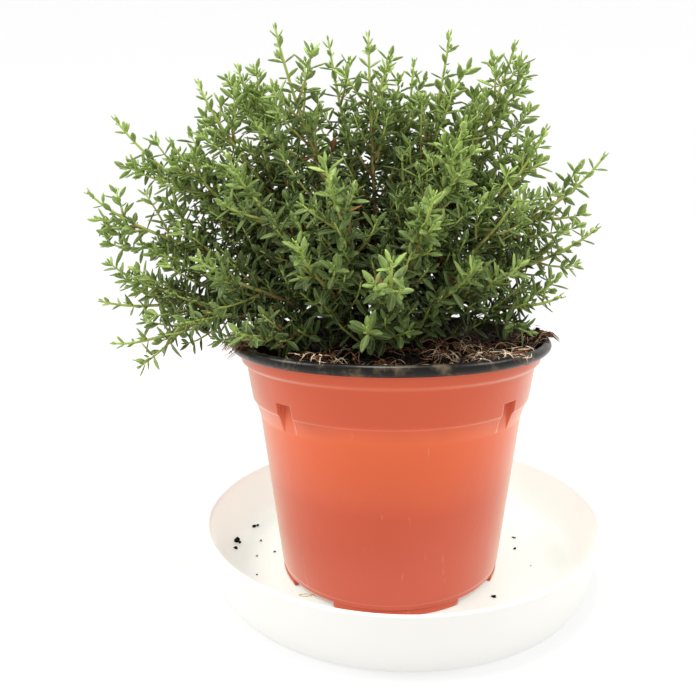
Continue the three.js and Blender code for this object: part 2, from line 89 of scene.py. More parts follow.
HEART = Vector((-3, 2, 82))
TIPS = (
    (-43, -12, 218), (-26, 20, 223), (-9, 0, 219), (10, 25, 216), (23, 5, 221), (48, 0, 216),
    (59, -10, 183), (87, 5, 175), (84, 0, 146), (65, -20, 120), (-122, 0, 160), (-113, 10, 190),
    (-88, 0, 180), (-77, 5, 203), (-63, 14, 211), (-120, 0, 116), (-109, -16, 101),
    (-9, -54, 113), (-32, -52, 141), (-23, -46, 167), (13, -50, 156), (27, -47, 133),
    (-1, -60, 135), (24, -40, 181), (-69, -36, 135), (-54, -46, 110), (-58, -30, 170),
    (47, -25, 159), (46, -34, 133),
)
# Stems at the back, at even turns and tilts in degrees round the heart of the crown. Here and below,
# two numbers in brackets are the range that a draw is taken from.
FILL = {
    "count": 8, "half_width": 102, "half_depth": 84, "height": 127, "heart": (-15, 6, 90), "first_turn": 12,
    "turns": 156, "turn_share": 0.618, "stray": 6, "first_tilt": 28, "tilts": 56, "swell": (0.9, 1.02),
}
STEM = {
    "base_reach": 37.0, "base_gap": 6.0, "base_radius": 1.1, "tip_radius": 0.45, "sway": 0.05, "rooted": 4,
    "gap_rounds": 40, "steps": 100,
}
NODE_STEP = 6.2
SHOOTS = {
    "nodes": (4, 8), "first": 2.5, "shortest": 14, "growth": 2.2, "longest": 32.0, "length": (0.8, 1.05),
    "roll": (-1.2, 1.2), "tilt": (0.7, 0.95), "steps": 16, "checked_from": 8,
}
# The first number of each fixed row of draws.
SEEDS = {"granules": 61, "tufts": 70, "mats": 80, "fallen": 97, "shoots": 50, "fill": 900, "sprigs": 7000}

# Leaves: sizes in mm, tilts in degrees and turns in radians. Curls are shares of the length.
LEAF = {
    "length": 7.4, "half_width": 1.45, "large": 4.3, "lengths": (0.88, 1.1), "widths": (0.86, 1.14),
    "roll": (-0.3, 0.3), "twist": (-0.2, 0.2), "tilt": (-9, 9), "old_tilt": 8, "curl": (0.0, 0.14),
    "old_curl": 0.1, "young_curl": (-0.12, 0.04), "dead_share": 0.012, "dead_age": 0.5,
}
# What the real plant has at each node, from the tip of a sprig down: the leaves' tilt in degrees,
# their size as a share of a full leaf, and the gaps between the nodes.
LEAF_TILTS = (16, 42, 56, 63, 68, 72, 76, 80)
LEADER = {"sizes": (0.34, 0.52, 0.64, 0.78, 0.9, 1.0), "gaps": (0.8, 2.6, 4.2, 4.8, 5.2, 5.2)}
SHOOT = {"sizes": (0.3, 0.68, 0.92, 1.0), "gaps": (0.5, 1.1, 2.0, 3.4, 4.2, 4.6)}
AXIL = {"sizes": (0.42, 0.74, 0.84), "gaps": (0.4, 1.4, 2.4, 2.8)}
# The first stems end in thin leaders against the light, and the others in full stars of leaves.
LEADERS = 17
# How bushy a stem is where it isn't as full as most.
BUSH = {
    1: 0.4, 2: 0.2, 3: 0.35, 4: 0.6, 5: 0.25, 6: 0.65, 7: 0.45, 8: 0.0, 9: 0.35, 11: 0.4, 12: 0.25, 14: 0.7,
    16: 0.15, 17: 0.2, 18: 0.15, 19: 0.35, 20: 0.6, 21: 0.6, 22: 0.5, 23: 0.35, 28: 0.4, 29: 0.55,
    36: 0.4, 37: 0.35,
}
# Long side branches by stem: how far below its tip the branch leaves, and where its own tip is.
BRANCHES = {
    3: ((42, (0, 11, 215)),),
    4: ((44, (3, 18, 208)), (50, (1, 10, 200))),
    5: ((60, (24, -6, 199)),),
    6: ((60, (55, 0, 192)), (32, (53, 2, 207))),
    7: ((42, (56, 0, 181)), (48, (43, -4, 175))),
    8: ((42, (80, 6, 152)),),
    10: ((22, (65, -14, 127)),),
    11: ((50, (-116, 0, 140)), (62, (-98, 0, 136)), (68, (-95, -8, 137)), (26, (-116, 0, 147))),
    14: ((28, (-71, 4, 184)),),
    15: ((42, (-55, 11, 210)),),
    16: ((40, (-114, -4, 132)), (52, (-104, -6, 126)), (34, (-110, -4, 127)), (58, (-88, -14, 133)),
         (46, (-100, -12, 130))),
    26: ((20, (-65, -34, 106)),),
    30: ((32, (35, 11, 201)),),
}
# Wood: radius at the foot and the tip, sides, and how far apart its rings are.
WOOD = {
    "stem": (STEM["base_radius"] * 1.1, STEM["tip_radius"], 7, 4.0),
    "shoot": (0.6, 0.32, 5, 5.0),
    "long_branch": (0.65, 0.32, 5, 5.0),
    "branch": (0.55, 0.3, 5, 5.0),
    "tuft": (0.32, 0.22, 3, 4.0),
}
# Side branches and tufts in the axils: how likely they are, and how long they may grow. Branches
# are longer further below the tip, and tufts are longer at each node down.
BRANCH = {
    "chance": 0.74, "from": 14, "shortest": 7, "growth": 0.34, "longest": 34, "length": (0.6, 1.1),
    "size": (0.84, 1.0), "bare": 1.5, "tilt": (34, 54),
}
TUFT = {
    "chance": 0.12, "bushy_chance": 0.58, "shaded": 0.45, "shortest": 1.2, "growth": 0.8, "longest": 6.5,
    "length": (0.6, 1.15), "size": (0.6, 0.8), "bare": 0.2, "with_wood": 2.5,
}
# A stem is as bushy as the others from the second of these distances below its tip.
BUSHY_FROM = (28, 50)
# Leaves age over these distances below a tip, at the outside of the crown and deep inside it; the quicker
# ageing inside is partly real and partly painted shade. Those inside are also older from the start, as
# painted shade, and those at the outside look a little younger, as painted light.
AGEING_AND_SHADE = {"outside": 58, "inside": 24, "most_in_shade": 0.5, "painted_light_factor": 0.78}
# A row of draws multiplies its last number round a prime, so it is the same on every machine.
MODULUS, MULTIPLIER = 2147483647, 16807
SEED_STRIDE, SEED_SHIFT = 7919, 12345


def seeded_draw(seed):
    """A function that gives the next of a fixed row of numbers from 0 to 1."""
    state = (seed * SEED_STRIDE + SEED_SHIFT) % MODULUS

    def draw(low=0.0, high=1.0):
        nonlocal state
        state = state * MULTIPLIER % MODULUS
        return low + (high - low) * state / MODULUS

    draw()
    draw()
    return draw


def smooth_step(low, high, value):
    """0 up to low, 1 from high, and a soft curve between them."""
    part = min(max((value - low) / (high - low), 0.0), 1.0)
    return part * part * (3 - 2 * part)


def waves(x, y):
    """Uneven ground, in waves about 20 mm and 12 mm long."""
    coarse = math.sin(x * 0.31 + y * 0.12) * math.sin(y * 0.27 - x * 0.07)
    return coarse + 0.6 * math.sin(x * 0.55 + 1.3) * math.cos(y * 0.49)


def soil_height(x, y):
    """The heap of soil that the solids have: higher in the middle and towards the right."""
    heap = math.exp(-(x * x + y * y) / (2 * SOIL["crown_spread"] ** 2))
    slope = SOIL["right_rise"] * x / SOIL["half_width"]
    return SOIL["level"] + SOIL["crown_rise"] * heap + slope + SOIL["waves"] * waves(x, y)


# Meshes


class Draft:
    """Vertices, faces and per-vertex values that are gathered before one mesh is made of them."""

    def __init__(self, values=()):
        self.points = []
        self.faces = []
        self.finishes = []
        self.values = {name: [] for name in values}
        self.count = 0

    def add(self, points, faces, finish=0, **values):
        """Adds points with their faces and values, and gives the number of its first point."""
        start = self.count
        points = np.asarray(points, float).reshape(-1, 3)
        self.points.append(points)
        self.count += len(points)
        for name, kept in self.values.items():
            kept.append(np.broadcast_to(np.asarray(values.get(name, 0.0), float), len(points)))
        self.add_faces(faces, start, finish)
        return start

    def add_faces(self, faces, start, finish=0):
        """Adds faces whose corners are counted from the point with the number `start`."""
        self.faces.append(np.asarray(faces, int) + start)
        self.finishes.append(np.full(len(faces), finish))

    def piece(self, name, materials, offset=POT["offset"]):
        """One object from all that was added, with its materials in the order of the finishes."""
        mesh = bpy.data.meshes.new(name)
        points = np.concatenate(self.points) + (*offset, 0)
        sides = np.concatenate([np.full(len(faces), faces.shape[1]) for faces in self.faces])
        corners = np.concatenate([faces.ravel() for faces in self.faces])
        mesh.vertices.add(len(points))
        mesh.vertices.foreach_set("co", (points * METRES_PER_MM).ravel())
        mesh.loops.add(len(corners))
        mesh.loops.foreach_set("vertex_index", corners)
        mesh.polygons.add(len(sides))
        mesh.polygons.foreach_set("loop_start", np.concatenate([[0], np.cumsum(sides)[:-1]]))
        mesh.update(calc_edges=True)
        mesh.polygons.foreach_set("material_index", np.concatenate(self.finishes))
        mesh.polygons.foreach_set("use_smooth", np.full(len(sides), True))
        for key, kept in self.values.items():
            mesh.attributes.new(key, "FLOAT", "POINT").data.foreach_set("value", np.concatenate(kept))
        for material in materials:
            mesh.materials.append(material)
        made = bpy.data.objects.new(name, mesh)
        bpy.context.scene.collection.objects.link(made)
        return made


def ring_faces(rings, around):
    """Quads between rings of `around` points each, laid ring after ring."""
    first = np.arange(rings - 1)[:, None] * around
    corner = np.arange(around)[None, :]
    start = (first + corner).ravel()
    after = (first + (corner + 1) % around).ravel()
    return np.stack([start, after, after + around, start + around], axis=1)


def cross_axes(along, side):
    """Two axes across `along`: the first as near to `side` as it can be."""
    across = (side - along * side.dot(along)).normalized()
    return across, along.cross(across)


TUBE_SIDE = (0.31, 0.17, 0.93)  # a direction that no tube follows


def add_tube(draft, points, radii, sides, finish=0, **values):
    """A round closed tube through the points."""
    points = np.asarray(points, float)
    along = np.gradient(points, axis=0)
    along /= np.linalg.norm(along, axis=1)[:, None]
    side = np.cross(along, TUBE_SIDE)
    side /= np.linalg.norm(side, axis=1)[:, None]
    over = np.cross(along, side)
    corner = np.arange(sides)
    turns = FULL_TURN * corner / sides
    wheel = side[:, None] * np.cos(turns)[None, :, None] + over[:, None] * np.sin(turns)[None, :, None]
    rings = points[:, None] + wheel * np.asarray(radii, float)[:, None, None]
    cloud = np.concatenate([rings.reshape(-1, 3), points[:1], points[-1:]])
    count = len(points)
    spread = {}
    for key, value in values.items():
        by_ring = np.broadcast_to(value, count)
        spread[key] = np.concatenate([np.repeat(by_ring, sides), by_ring[[0, -1]]])
    start = draft.add(cloud, ring_faces(count, sides), finish, **spread)
    foot, top = count * sides, count * sides + 1
    last = (count - 1) * sides
    draft.add_faces(np.concatenate([
        np.stack([np.full(sides, foot), (corner + 1) % sides, corner], axis=1),
        np.stack([np.full(sides, top), last + corner, last + (corner + 1) % sides], axis=1),
    ]), start, finish)


ARC_STEPS = 3


def rounded(points, radius):
    """The same outline with every inner corner turned in a small arc."""
    made = [points[0]]
    for three in zip(points, points[1:], points[2:]):
        before, corner, after = (np.array(point, float) for point in three)
        ends = []
        for other in (before, after):
            away = other - corner
            length = np.linalg.norm(away)
            ends.append(corner + away / length * min(radius, 0.45 * length))
        for i in range(ARC_STEPS + 1):
            t = i / ARC_STEPS
            made.append(tuple((1 - t) ** 2 * ends[0] + 2 * t * (1 - t) * corner + t * t * ends[1]))
    made.append(points[-1])
    return made


def even_angles(count):
    """Angles for one even turn in this many steps."""
    return [FULL_TURN * i / count for i in range(count)]


def turned(radius, angle, z):
    """A point at this angle round +Z, counted from the front."""
    return radius * math.sin(angle), -radius * math.cos(angle), z


# Materials


def paint(code):
    """Linear colour from an sRGB hex value."""
    parts = [int(code[i:i + 2], 16) / 255 for i in (1, 3, 5)]
    linear = [p / 12.92 if p <= 0.04045 else ((p + 0.055) / 1.055) ** 2.4 for p in parts]
    return (*linear, 1.0)


def cells(millimetres):
    """The scale of a noise, in cells a metre, from the size of the real pattern."""
    return 1 / (millimetres * METRES_PER_MM)


def add_node(tree, kind, inputs=None, stops=None, feeds=None, **settings):
    """Adds a node, sets it and links it: an input is a value or the socket that feeds it, and
    `feeds` is one of the node's outputs and the socket that it goes to."""
    made = tree.nodes.new("ShaderNode" + kind)
    for key, value in settings.items():
        setattr(made, key, value)
    for key, value in (inputs or {}).items():
        if isinstance(value, bpy.types.NodeSocket):
            tree.links.new(value, made.inputs[key])
        else:
            made.inputs[key].default_value = value
    if stops:
        elements = made.color_ramp.elements
        while len(elements) < len(stops):
            elements.new(0.5)
        for element, (position, colour) in zip(elements, stops):
            element.position = position
            element.color = paint(colour)
    if feeds:
        tree.links.new(made.outputs[feeds[0]], feeds[1])
    return made


FACTOR, MIX_A, MIX_B, MIX_RESULT = 0, 6, 7, 2  # sockets of a colour mix
LEAF_VALUES = ("age", "chance", "across", "along", "under")


def new_material(name, constants):
    """A material, with what is the same all over its surface set on the shader's own sockets."""
    material = bpy.data.materials.new(name)
    material.use_nodes = True
    tree = material.node_tree
    shader = tree.nodes["Principled BSDF"]
    for key, value in constants.items():
        shader.inputs[key].default_value = value
    return material, tree, shader.inputs


def thyme_leaf():
    """Thyme leaf: thin, soft and a little waxy. Young leaves are bright yellow-green, old ones dull
    grey-green, with painted shade on those deep in the crown and painted light on those at its
    outside; the underside is paler, the midrib is a light line, and a few inner leaves have died."""
    material, tree, surface = new_material("thyme_leaf", {"Roughness": 0.48, "Specular IOR Level": 0.28})
    age, chance, across, along, under = (
        add_node(tree, "Attribute", attribute_name=name).outputs["Fac"] for name in LEAF_VALUES)
    place = add_node(tree, "TexCoord").outputs["Object"]
    # The age value holds real age, and also painted shade deep in the crown and painted light at its outside.
    older = add_node(tree, "Math", {0: chance, 1: 0.3, 2: age}, operation="MULTIPLY_ADD")
    green = add_node(tree, "ValToRGB", {"Fac": older.outputs[0]}, stops=(
        (0.0, "#c6e072"), (0.2, "#a9c263"), (0.45, "#7b9149"), (0.75, "#48592c"), (1.0, "#18220c")))
    # Leaf cells show as faint blotches about 1.5 mm across.
    blotch = add_node(tree, "TexNoise", {"Vector": place, "Scale": cells(1.54), "Detail": 3.0})
    spread = add_node(tree, "MapRange", {
        "Value": blotch.outputs["Fac"], "From Min": 0.3, "From Max": 0.7, "To Min": 0.0, "To Max": 0.4})
    # The midrib is a pale line along the middle of the blade, and the rolled margins are pale too.
    aside = add_node(tree, "Math", {0: across}, operation="ABSOLUTE")
    rib = add_node(tree, "MapRange", {
        "Value": aside.outputs[0], "From Min": 0.0, "From Max": 0.22, "To Min": 0.3, "To Max": 0.0})
    margin = add_node(tree, "MapRange", {
        "Value": aside.outputs[0], "From Min": 0.72, "From Max": 1.0, "To Min": 0.0, "To Max": 0.6})
    veins = add_node(tree, "Math", {0: rib.outputs[0], 1: margin.outputs[0]}, operation="ADD")
    stalk = add_node(tree, "MapRange", {
        "Value": along, "From Min": 0.02, "From Max": 0.3, "To Min": 0.55, "To Max": 0.0})
    underside = add_node(tree, "Math", {0: under, 1: 0.42}, operation="MULTIPLY")
    dead = add_node(tree, "Math", {0: chance, 1: 1.5}, operation="GREATER_THAN")
    colour = green.outputs["Color"]
    layers = ((spread, "#2b3a17"), (veins, "#a4bd6a"), (stalk, "#a3bb60"), (underside, "#86995f"),
              (dead, "#8f5f3a"))
    for part, tone in layers:
        colour = add_node(tree, "Mix", {
            FACTOR: part.outputs[0], MIX_A: colour, MIX_B: paint(tone)}, data_type="RGBA").outputs[MIX_RESULT]
    tree.links.new(colour, surface["Base Color"])
    # The leaf's felt and oil glands are finer than this grain of 0.6 mm, which is drawn so that it shows.
    grain = add_node(tree, "TexNoise", {"Vector": place, "Scale": cells(0.625), "Detail": 2.0})
    add_node(tree, "Bump", {"Height": grain.outputs["Fac"], "Strength": 0.25, "Distance": 0.0003},
             feeds=("Normal", surface["Normal"]))
    return material


def thyme_bark():
    """Thyme stem: soft and yellow-green near the tip, then tan, then thin flaking brown bark."""
    material, tree, surface = new_material("thyme_bark", {"Roughness": 0.6})
    age = add_node(tree, "Attribute", attribute_name="age").outputs["Fac"]
    place = add_node(tree, "TexCoord").outputs["Object"]
    # Flakes of bark are about 2.4 mm across.
    flake = add_node(tree, "TexNoise", {"Vector": place, "Scale": cells(2.38), "Detail": 4.0})
    older = add_node(tree, "Math", {0: flake.outputs["Fac"], 1: 0.4, 2: age}, operation="MULTIPLY_ADD")
    add_node(tree, "ValToRGB", {"Fac": older.outputs[0]}, feeds=("Color", surface["Base Color"]), stops=(
        (0.2, "#a9c05c"), (0.5, "#9fa552"), (0.7, "#8f7440"), (0.9, "#57402d"), (1.0, "#382a20")))
    add_node(tree, "Bump", {"Height": flake.outputs["Fac"], "Strength": 0.5, "Distance": 0.0004},
             feeds=("Normal", surface["Normal"]))
    return material


def terracotta_polypropylene():
    """Outside of a vacuum-formed polypropylene pot: satin, slightly uneven orange-red, with pale
    scuffs from handling, a deeper tone low on the wall and painted shade on the collar under the lip."""
    material, tree, surface = new_material("terracotta_polypropylene", {
        "Specular IOR Level": 0.45, "Sheen Weight": 1.0, "Sheen Roughness": 0.36,
        "Sheen Tint": paint("#fff2e0")})
    place = add_node(tree, "TexCoord").outputs["Object"]
    height = add_node(tree, "SeparateXYZ", {"Vector": place}).outputs["Z"]
    # The tone changes over heights from about 24 mm to 79 mm, along lines that waver every 36 mm.
    drift = add_node(tree, "TexNoise", {"Vector": place, "Scale": cells(35.7), "Detail": 3.0})
    level = add_node(tree, "Math", {
        0: drift.outputs["Fac"], 1: 0.012, 2: height}, operation="MULTIPLY_ADD")
    part = add_node(tree, "MapRange", {"Value": level.outputs[0], "From Min": 0.03, "From Max": 0.085})
    # Deeper low on the wall, lightest just under the collar, and darker again on the collar and band as
    # painted shade under the lip.
    tone = add_node(tree, "ValToRGB", {"Fac": part.outputs[0]}, stops=(
        (0.0, "#c44d30"), (0.36, "#c54c2b"), (0.5, "#ce5429"), (0.72, "#d65826"), (0.88, "#db5c27"),
        (1.0, "#c74d23")))
    # Scuffs: thin upright strokes, few and faint, from a noise of 3.8 mm cells drawn out in height.
    stretched = add_node(tree, "Mapping", {"Vector": place, "Scale": (1.0, 1.0, 0.16)})
    strokes = add_node(tree, "TexNoise", {
        "Vector": stretched.outputs[0], "Scale": cells(3.846), "Detail": 4.0, "Roughness": 0.65})
    scuff = add_node(tree, "MapRange", {
        "Value": strokes.outputs["Fac"], "From Min": 0.66, "From Max": 0.78, "To Min": 0.0, "To Max": 0.4})
    add_node(tree, "Mix", {
        FACTOR: scuff.outputs[0], MIX_A: tone.outputs["Color"], MIX_B: paint("#d89274")},
        feeds=(MIX_RESULT, surface["Base Color"]), data_type="RGBA")
    add_node(tree, "MapRange", {
        "Value": drift.outputs["Fac"], "From Min": 0.3, "From Max": 0.7, "To Min": 0.36, "To Max": 0.46},
        feeds=(0, surface["Roughness"]))
    # The formed sheet has a fine orange peel of about 1 mm.
    skin = add_node(tree, "TexNoise", {"Vector": place, "Scale": cells(1.11), "Detail": 2.0})
    add_node(tree, "Bump", {"Height": skin.outputs["Fac"], "Strength": 0.12, "Distance": 0.0003},
             feeds=("Normal", surface["Normal"]))
    return material


def black_polypropylene():
    """Inner layer of the pot's sheet, which also makes its rolled lip: black, satin, dusty with soil."""
    material, tree, surface = new_material("black_polypropylene", {
        "Roughness": 0.3, "Specular IOR Level": 0.25})
    place = add_node(tree, "TexCoord").outputs["Object"]
    # Dust lies in patches about 8 mm across.
    dust = add_node(tree, "TexNoise", {
        "Vector": place, "Scale": cells(7.69), "Detail": 6.0, "Roughness": 0.7})
    amount = add_node(tree, "MapRange", {
        "Value": dust.outputs["Fac"], "From Min": 0.5, "From Max": 0.75, "To Min": 0.0, "To Max": 0.85})
    add_node(tree, "Mix", {
        FACTOR: amount.outputs[0], MIX_A: paint("#0e0a06"), MIX_B: paint("#7c6c52")},
        feeds=(MIX_RESULT, surface["Base Color"]), data_type="RGBA")
    add_node(tree, "Bump", {"Height": dust.outputs["Fac"], "Strength": 0.2, "Distance": 0.0004},
             feeds=("Normal", surface["Normal"]))
    return material


def white_polypropylene():
    """Saucer: injection-moulded white polypropylene, smooth with a soft gloss. Its inside has a painted
    glow, a faint emission that brightens it where the pot and the plant shade it."""
    # The painted glow is tinted green-blue, against the red light that the pot throws on the white.
    material, tree, surface = new_material("white_polypropylene", {
        "Roughness": 0.32, "Emission Color": paint("#d6fff6")})
    place = add_node(tree, "TexCoord").outputs["Object"]
    # The white is uneven over about 45 mm, as melt flow leaves it.
    haze = add_node(tree, "TexNoise", {"Vector": place, "Scale": cells(45.5), "Detail": 4.0})
    add_node(tree, "Mix", {
        FACTOR: haze.outputs["Fac"], MIX_A: paint("#ebe9e5"), MIX_B: paint("#e5e2dc")},
        feeds=(MIX_RESULT, surface["Base Color"]), data_type="RGBA")
    # How deep a point lies inside the outer wall, in metres, turned to the strength of the painted glow,
    # faint outside and stronger inside.
    axes = add_node(tree, "SeparateXYZ", {"Vector": place})
    flat = add_node(tree, "CombineXYZ", {"X": axes.outputs["X"], "Y": axes.outputs["Y"]})
    radius = add_node(tree, "VectorMath", {0: flat.outputs[0]}, operation="LENGTH")
    wall = add_node(tree, "Math", {
        0: axes.outputs["Z"], 1: SAUCER_LEAN, 2: SAUCER["base_radius"] * METRES_PER_MM},
        operation="MULTIPLY_ADD")
    depth = add_node(tree, "Math", {0: wall.outputs[0], 1: radius.outputs["Value"]}, operation="SUBTRACT")
    add_node(tree, "MapRange", {
        "Value": depth.outputs[0], "From Min": 0.0006, "From Max": 0.0018, "To Min": 0.04, "To Max": 0.33},
        feeds=(0, surface["Emission Strength"]))
    # The mould's surface is almost smooth, with a grain of 1.4 mm.
    grain = add_node(tree, "TexNoise", {"Vector": place, "Scale": cells(1.43), "Detail": 2.0})
    add_node(tree, "Bump", {"Height": grain.outputs["Fac"], "Strength": 0.06, "Distance": 0.0003},
             feeds=("Normal", surface["Normal"]))
    return material


def potting_soil():
    """Peat-based potting soil: nearly black, crumbly and dull, with reddish bark bits."""
    material, tree, surface = new_material("potting_soil", {"Roughness": 0.9, "Specular IOR Level": 0.2})
    place = add_node(tree, "TexCoord").outputs["Object"]
    # Crumbs are about 1.9 mm across.
    crumbs = add_node(tree, "TexNoise", {
        "Vector": place, "Scale": cells(1.923), "Detail": 6.0, "Roughness": 0.7})
    add_node(tree, "ValToRGB", {"Fac": crumbs.outputs["Fac"]}, feeds=("Color", surface["Base Color"]),
             stops=((0.3, "#0d0906"), (0.52, "#1a130e"), (0.64, "#2a1f17"), (0.76, "#4a382a")))
    add_node(tree, "Bump", {"Height": crumbs.outputs["Fac"], "Strength": 0.9, "Distance": 0.0012},
             feeds=("Normal", surface["Normal"]))
    return material


def coir_fibre():
    """Coir: wiry coconut-husk fibre, from dark brown through rust to pale straw, dull."""
    material, tree, surface = new_material("coir_fibre", {"Roughness": 0.75})
    chance = add_node(tree, "Attribute", attribute_name="chance").outputs["Fac"]
    place = add_node(tree, "TexCoord").outputs["Object"]
    colour = add_node(tree, "ValToRGB", {"Fac": chance}, stops=(
        (0.0, "#25180f"), (0.3, "#4a2e1c"), (0.5, "#a4673f"), (0.72, "#dba878"), (1.0, "#f8e4c4")))
    # Soil clings to the fibres in stretches of about 2.6 mm.
    dirt = add_node(tree, "TexNoise", {"Vector": place, "Scale": cells(2.63), "Detail": 3.0})
    amount = add_node(tree, "MapRange", {
        "Value": dirt.outputs["Fac"], "From Min": 0.45, "From Max": 0.7, "To Min": 0.0, "To Max": 0.55})
    add_node(tree, "Mix", {
        FACTOR: amount.outputs[0], MIX_A: colour.outputs["Color"], MIX_B: paint("#21160f")},
        feeds=(MIX_RESULT, surface["Base Color"]), data_type="RGBA")
    return material


def white_backdrop():
    """Seamless white studio paper, lit a little from behind so that it stays white in the shade."""
    return new_material("white_backdrop", {
        "Base Color": paint("#9c9c9c"), "Roughness": 1.0, "Specular IOR Level": 0.0,
        "Emission Color": paint("#ffffff"), "Emission Strength": 0.6})[0]


# Saucer and pot


AXIS_GAP = 0.01  # a turned outline ends just off its axis


def add_lathe(draft, profile, angles, finish=0, radius_at=None):
    """A surface turned about +Z. radius_at may change a point's radius by its angle and height."""
    rings = []
    for radius, z in profile:
        radii = [radius_at(radius, z, a) if radius_at else radius for a in angles]
        rings.append([turned(r, a, z) for r, a in zip(radii, angles)])
    draft.add(np.array(rings).reshape(-1, 3), ring_faces(len(profile), len(angles)), finish)


def saucer_piece(material):
    """The saucer: a flat floor, a flared wall and a rim rounded over its edge."""
    base, rim = SAUCER["base_radius"], SAUCER["rim_radius"]
    height, floor = SAUCER["height"], SAUCER["floor"]

    def outer(z):
        return base + SAUCER_LEAN * z

    def inner(z):
        return outer(z) - SAUCER["wall"]

    corners = [
        (AXIS_GAP, 0.0), (base - 7.0, 0.0), (base - 0.4, 0.0), (outer(2.4), 2.4),
        (outer(height - 2.0), height - 2.0), (rim - 0.1, height - 0.9), (rim - 0.4, height),
        (rim - 1.4, height), (inner(height - 1.2), height - 1.2), (inner(9.0), 9.0),
        (inner(5.0) - 0.9, 4.6), (inner(3.0) - 3.6, floor + 0.2), (inner(3.0) - 9.0, floor),
        (AXIS_GAP, floor),
    ]
    draft = Draft()
    add_lathe(draft, rounded(corners, 1.6), even_angles(SAUCER["around"]))
    return draft.piece("saucer_shell", [material], offset=(0, 0))


def slant(low, high, z):
    """The point at height z on the straight line between two points of an outline."""
    part = (z - low[1]) / (high[1] - low[1])
    return low[0] + part * (high[0] - low[0]), z


def pot_outline():
    """Outside of the pot, from the middle of its floor up to the lip."""
    foot, collar_z = POT["foot_radius"], POT["collar_z"]
    collar = (POT["collar_radius"], collar_z)
    collar_top = (POT["collar_top_radius"], POT["band_bottom"] - 1.5)
    return [
        (AXIS_GAP, POT["foot_top"]), (foot - 0.6, POT["foot_top"]), (foot, POT["foot_top"] + 0.5),
        (foot + 0.15, POT["wall_z"] - 0.5), (POT["wall_radius"], POT["wall_z"]),
        (POT["shoulder_radius"], POT["shoulder_z"]), (POT["collar_radius"] - 0.75, collar_z - 0.7), collar,
        slant(collar, collar_top, LUG["top"] - LUG["top_bevel"]),
        slant(collar, collar_top, LUG["top"] + LUG["top_bevel"]),
        collar_top, (POT["band_radius"], POT["band_bottom"]), (POT["band_radius"] + 0.7, POT["band_top"]),
    ]


def inside_outline(gap=0.0):
    """Inside of the wall from the lip down to the pot's floor, moved in by `gap`."""
    inner = POT["wall"] + gap
    low = (POT["collar_radius"] - inner, POT["collar_z"] + 0.6)
    high = (POT["collar_top_radius"] - inner, POT["band_bottom"] + 0.2)
    lug_top = LUG["top"] + POT["wall"]
    floor = POT["foot_top"] + inner
    return [
        (LIP_INSIDE - gap, POT["lip_top"] - 0.5), (POT["band_radius"] - inner, POT["band_bottom"] + 2.0),
        high, slant(low, high, lug_top + LUG["top_bevel"]), slant(low, high, lug_top - LUG["top_bevel"]),
        low, (POT["shoulder_radius"] - inner, POT["shoulder_z"]),
        (POT["wall_radius"] - inner, POT["wall_z"] + 0.4), (POT["foot_radius"] - inner, floor),
        (AXIS_GAP, floor),
    ]


def lip_outline():
    """The rolled lip, which goes on as the black inside of the pot."""
    lip, top, low = POT["lip_radius"], POT["lip_top"], POT["band_top"]
    return [
        (POT["band_radius"] + 0.7, low), (lip - 1.2, low + 0.3), (lip, low + 2.2), (lip - 0.5, top - 0.8),
        (lip - 1.8, top), *inside_outline(),
    ]


def lug_distance(angle):
    """How far along the collar an angle lies from the middle of the nearest lug."""
    gaps = []
    for azimuth in LUG["azimuths"]:
        turn = (angle - math.radians(azimuth) + math.pi) % FULL_TURN - math.pi
        gaps.append(abs(turn) * POT["collar_radius"])
    return min(gaps)


def pressed_lugs(grow):
    """A radius_at for add_lathe that presses the stacking lugs into the collar's lower edge."""
    floor = POT["collar_radius"] - LUG["depth"] - grow
    half = LUG["width"] / 2 + grow
    soft = LUG["side_softness"]

    def radius_at(radius, z, angle):
        if not POT["shoulder_z"] - 4 < z < LUG["top"] + grow:
            return radius
        pressed = 1 - smooth_step(half - soft, half + soft, lug_distance(angle))
        return radius + pressed * (min(radius, floor) - radius)

    return radius_at


def pot_angles():
    """Even steps round the pot, with close pairs at the sides of each lug, outside and inside."""
    angles = set(even_angles(POT["around"]))
    edge, wall = LUG["side_bevel"], POT["wall"]
    for azimuth in LUG["azimuths"]:
        for side in (-1, 1):
            for offset in (-edge, 0.0, edge, wall - edge, wall + edge):
                turn = math.radians(azimuth) + side * (LUG["width"] / 2 + offset) / POT["collar_radius"]
                angles.add(turn % FULL_TURN)
    return sorted(angles)


def add_foot_rib(draft, azimuth):
    """One of the low arcs on which the pot stands."""
    half = math.radians(FEET["arc"] / 2)
    middle = math.radians(azimuth)
    bevel = FEET["bevel"]
    outer, inner = POT["foot_radius"], POT["foot_radius"] - FEET["thickness"]
    low, high = SAUCER["floor"], POT["foot_top"] + 0.3
    section = [(outer, high), (outer, low + bevel), (outer - bevel, low), (inner + bevel, low),
               (inner, low + bevel), (inner, high)]
    steps, around = 28, len(section)
    rings = []
    for i in range(steps + 1):
        angle = middle - half + 2 * half * i / steps
        rings.append([turned(radius, angle, z) for radius, z in section])
    start = draft.add(np.array(rings).reshape(-1, 3), ring_faces(steps + 1, around)[:, ::-1])
    first_end = np.arange(around)
    draft.add_faces(np.array([first_end, around * steps + first_end[::-1]]), start)


def pot_piece(outside, inside):
    """The pot: a terracotta-coloured outside, a black lip and inside, and the arcs it stands on."""
    draft = Draft()
    angles = pot_angles()
    add_lathe(draft, rounded(pot_outline(), 0.6), angles, 0, pressed_lugs(0.0))
    add_lathe(draft, rounded(lip_outline(), 1.0), angles, 1, pressed_lugs(POT["wall"]))
    for azimuth in FEET["azimuths"]:
        add_foot_rib(draft, azimuth)
    return draft.piece("pot_shell", [outside, inside])


# Soil

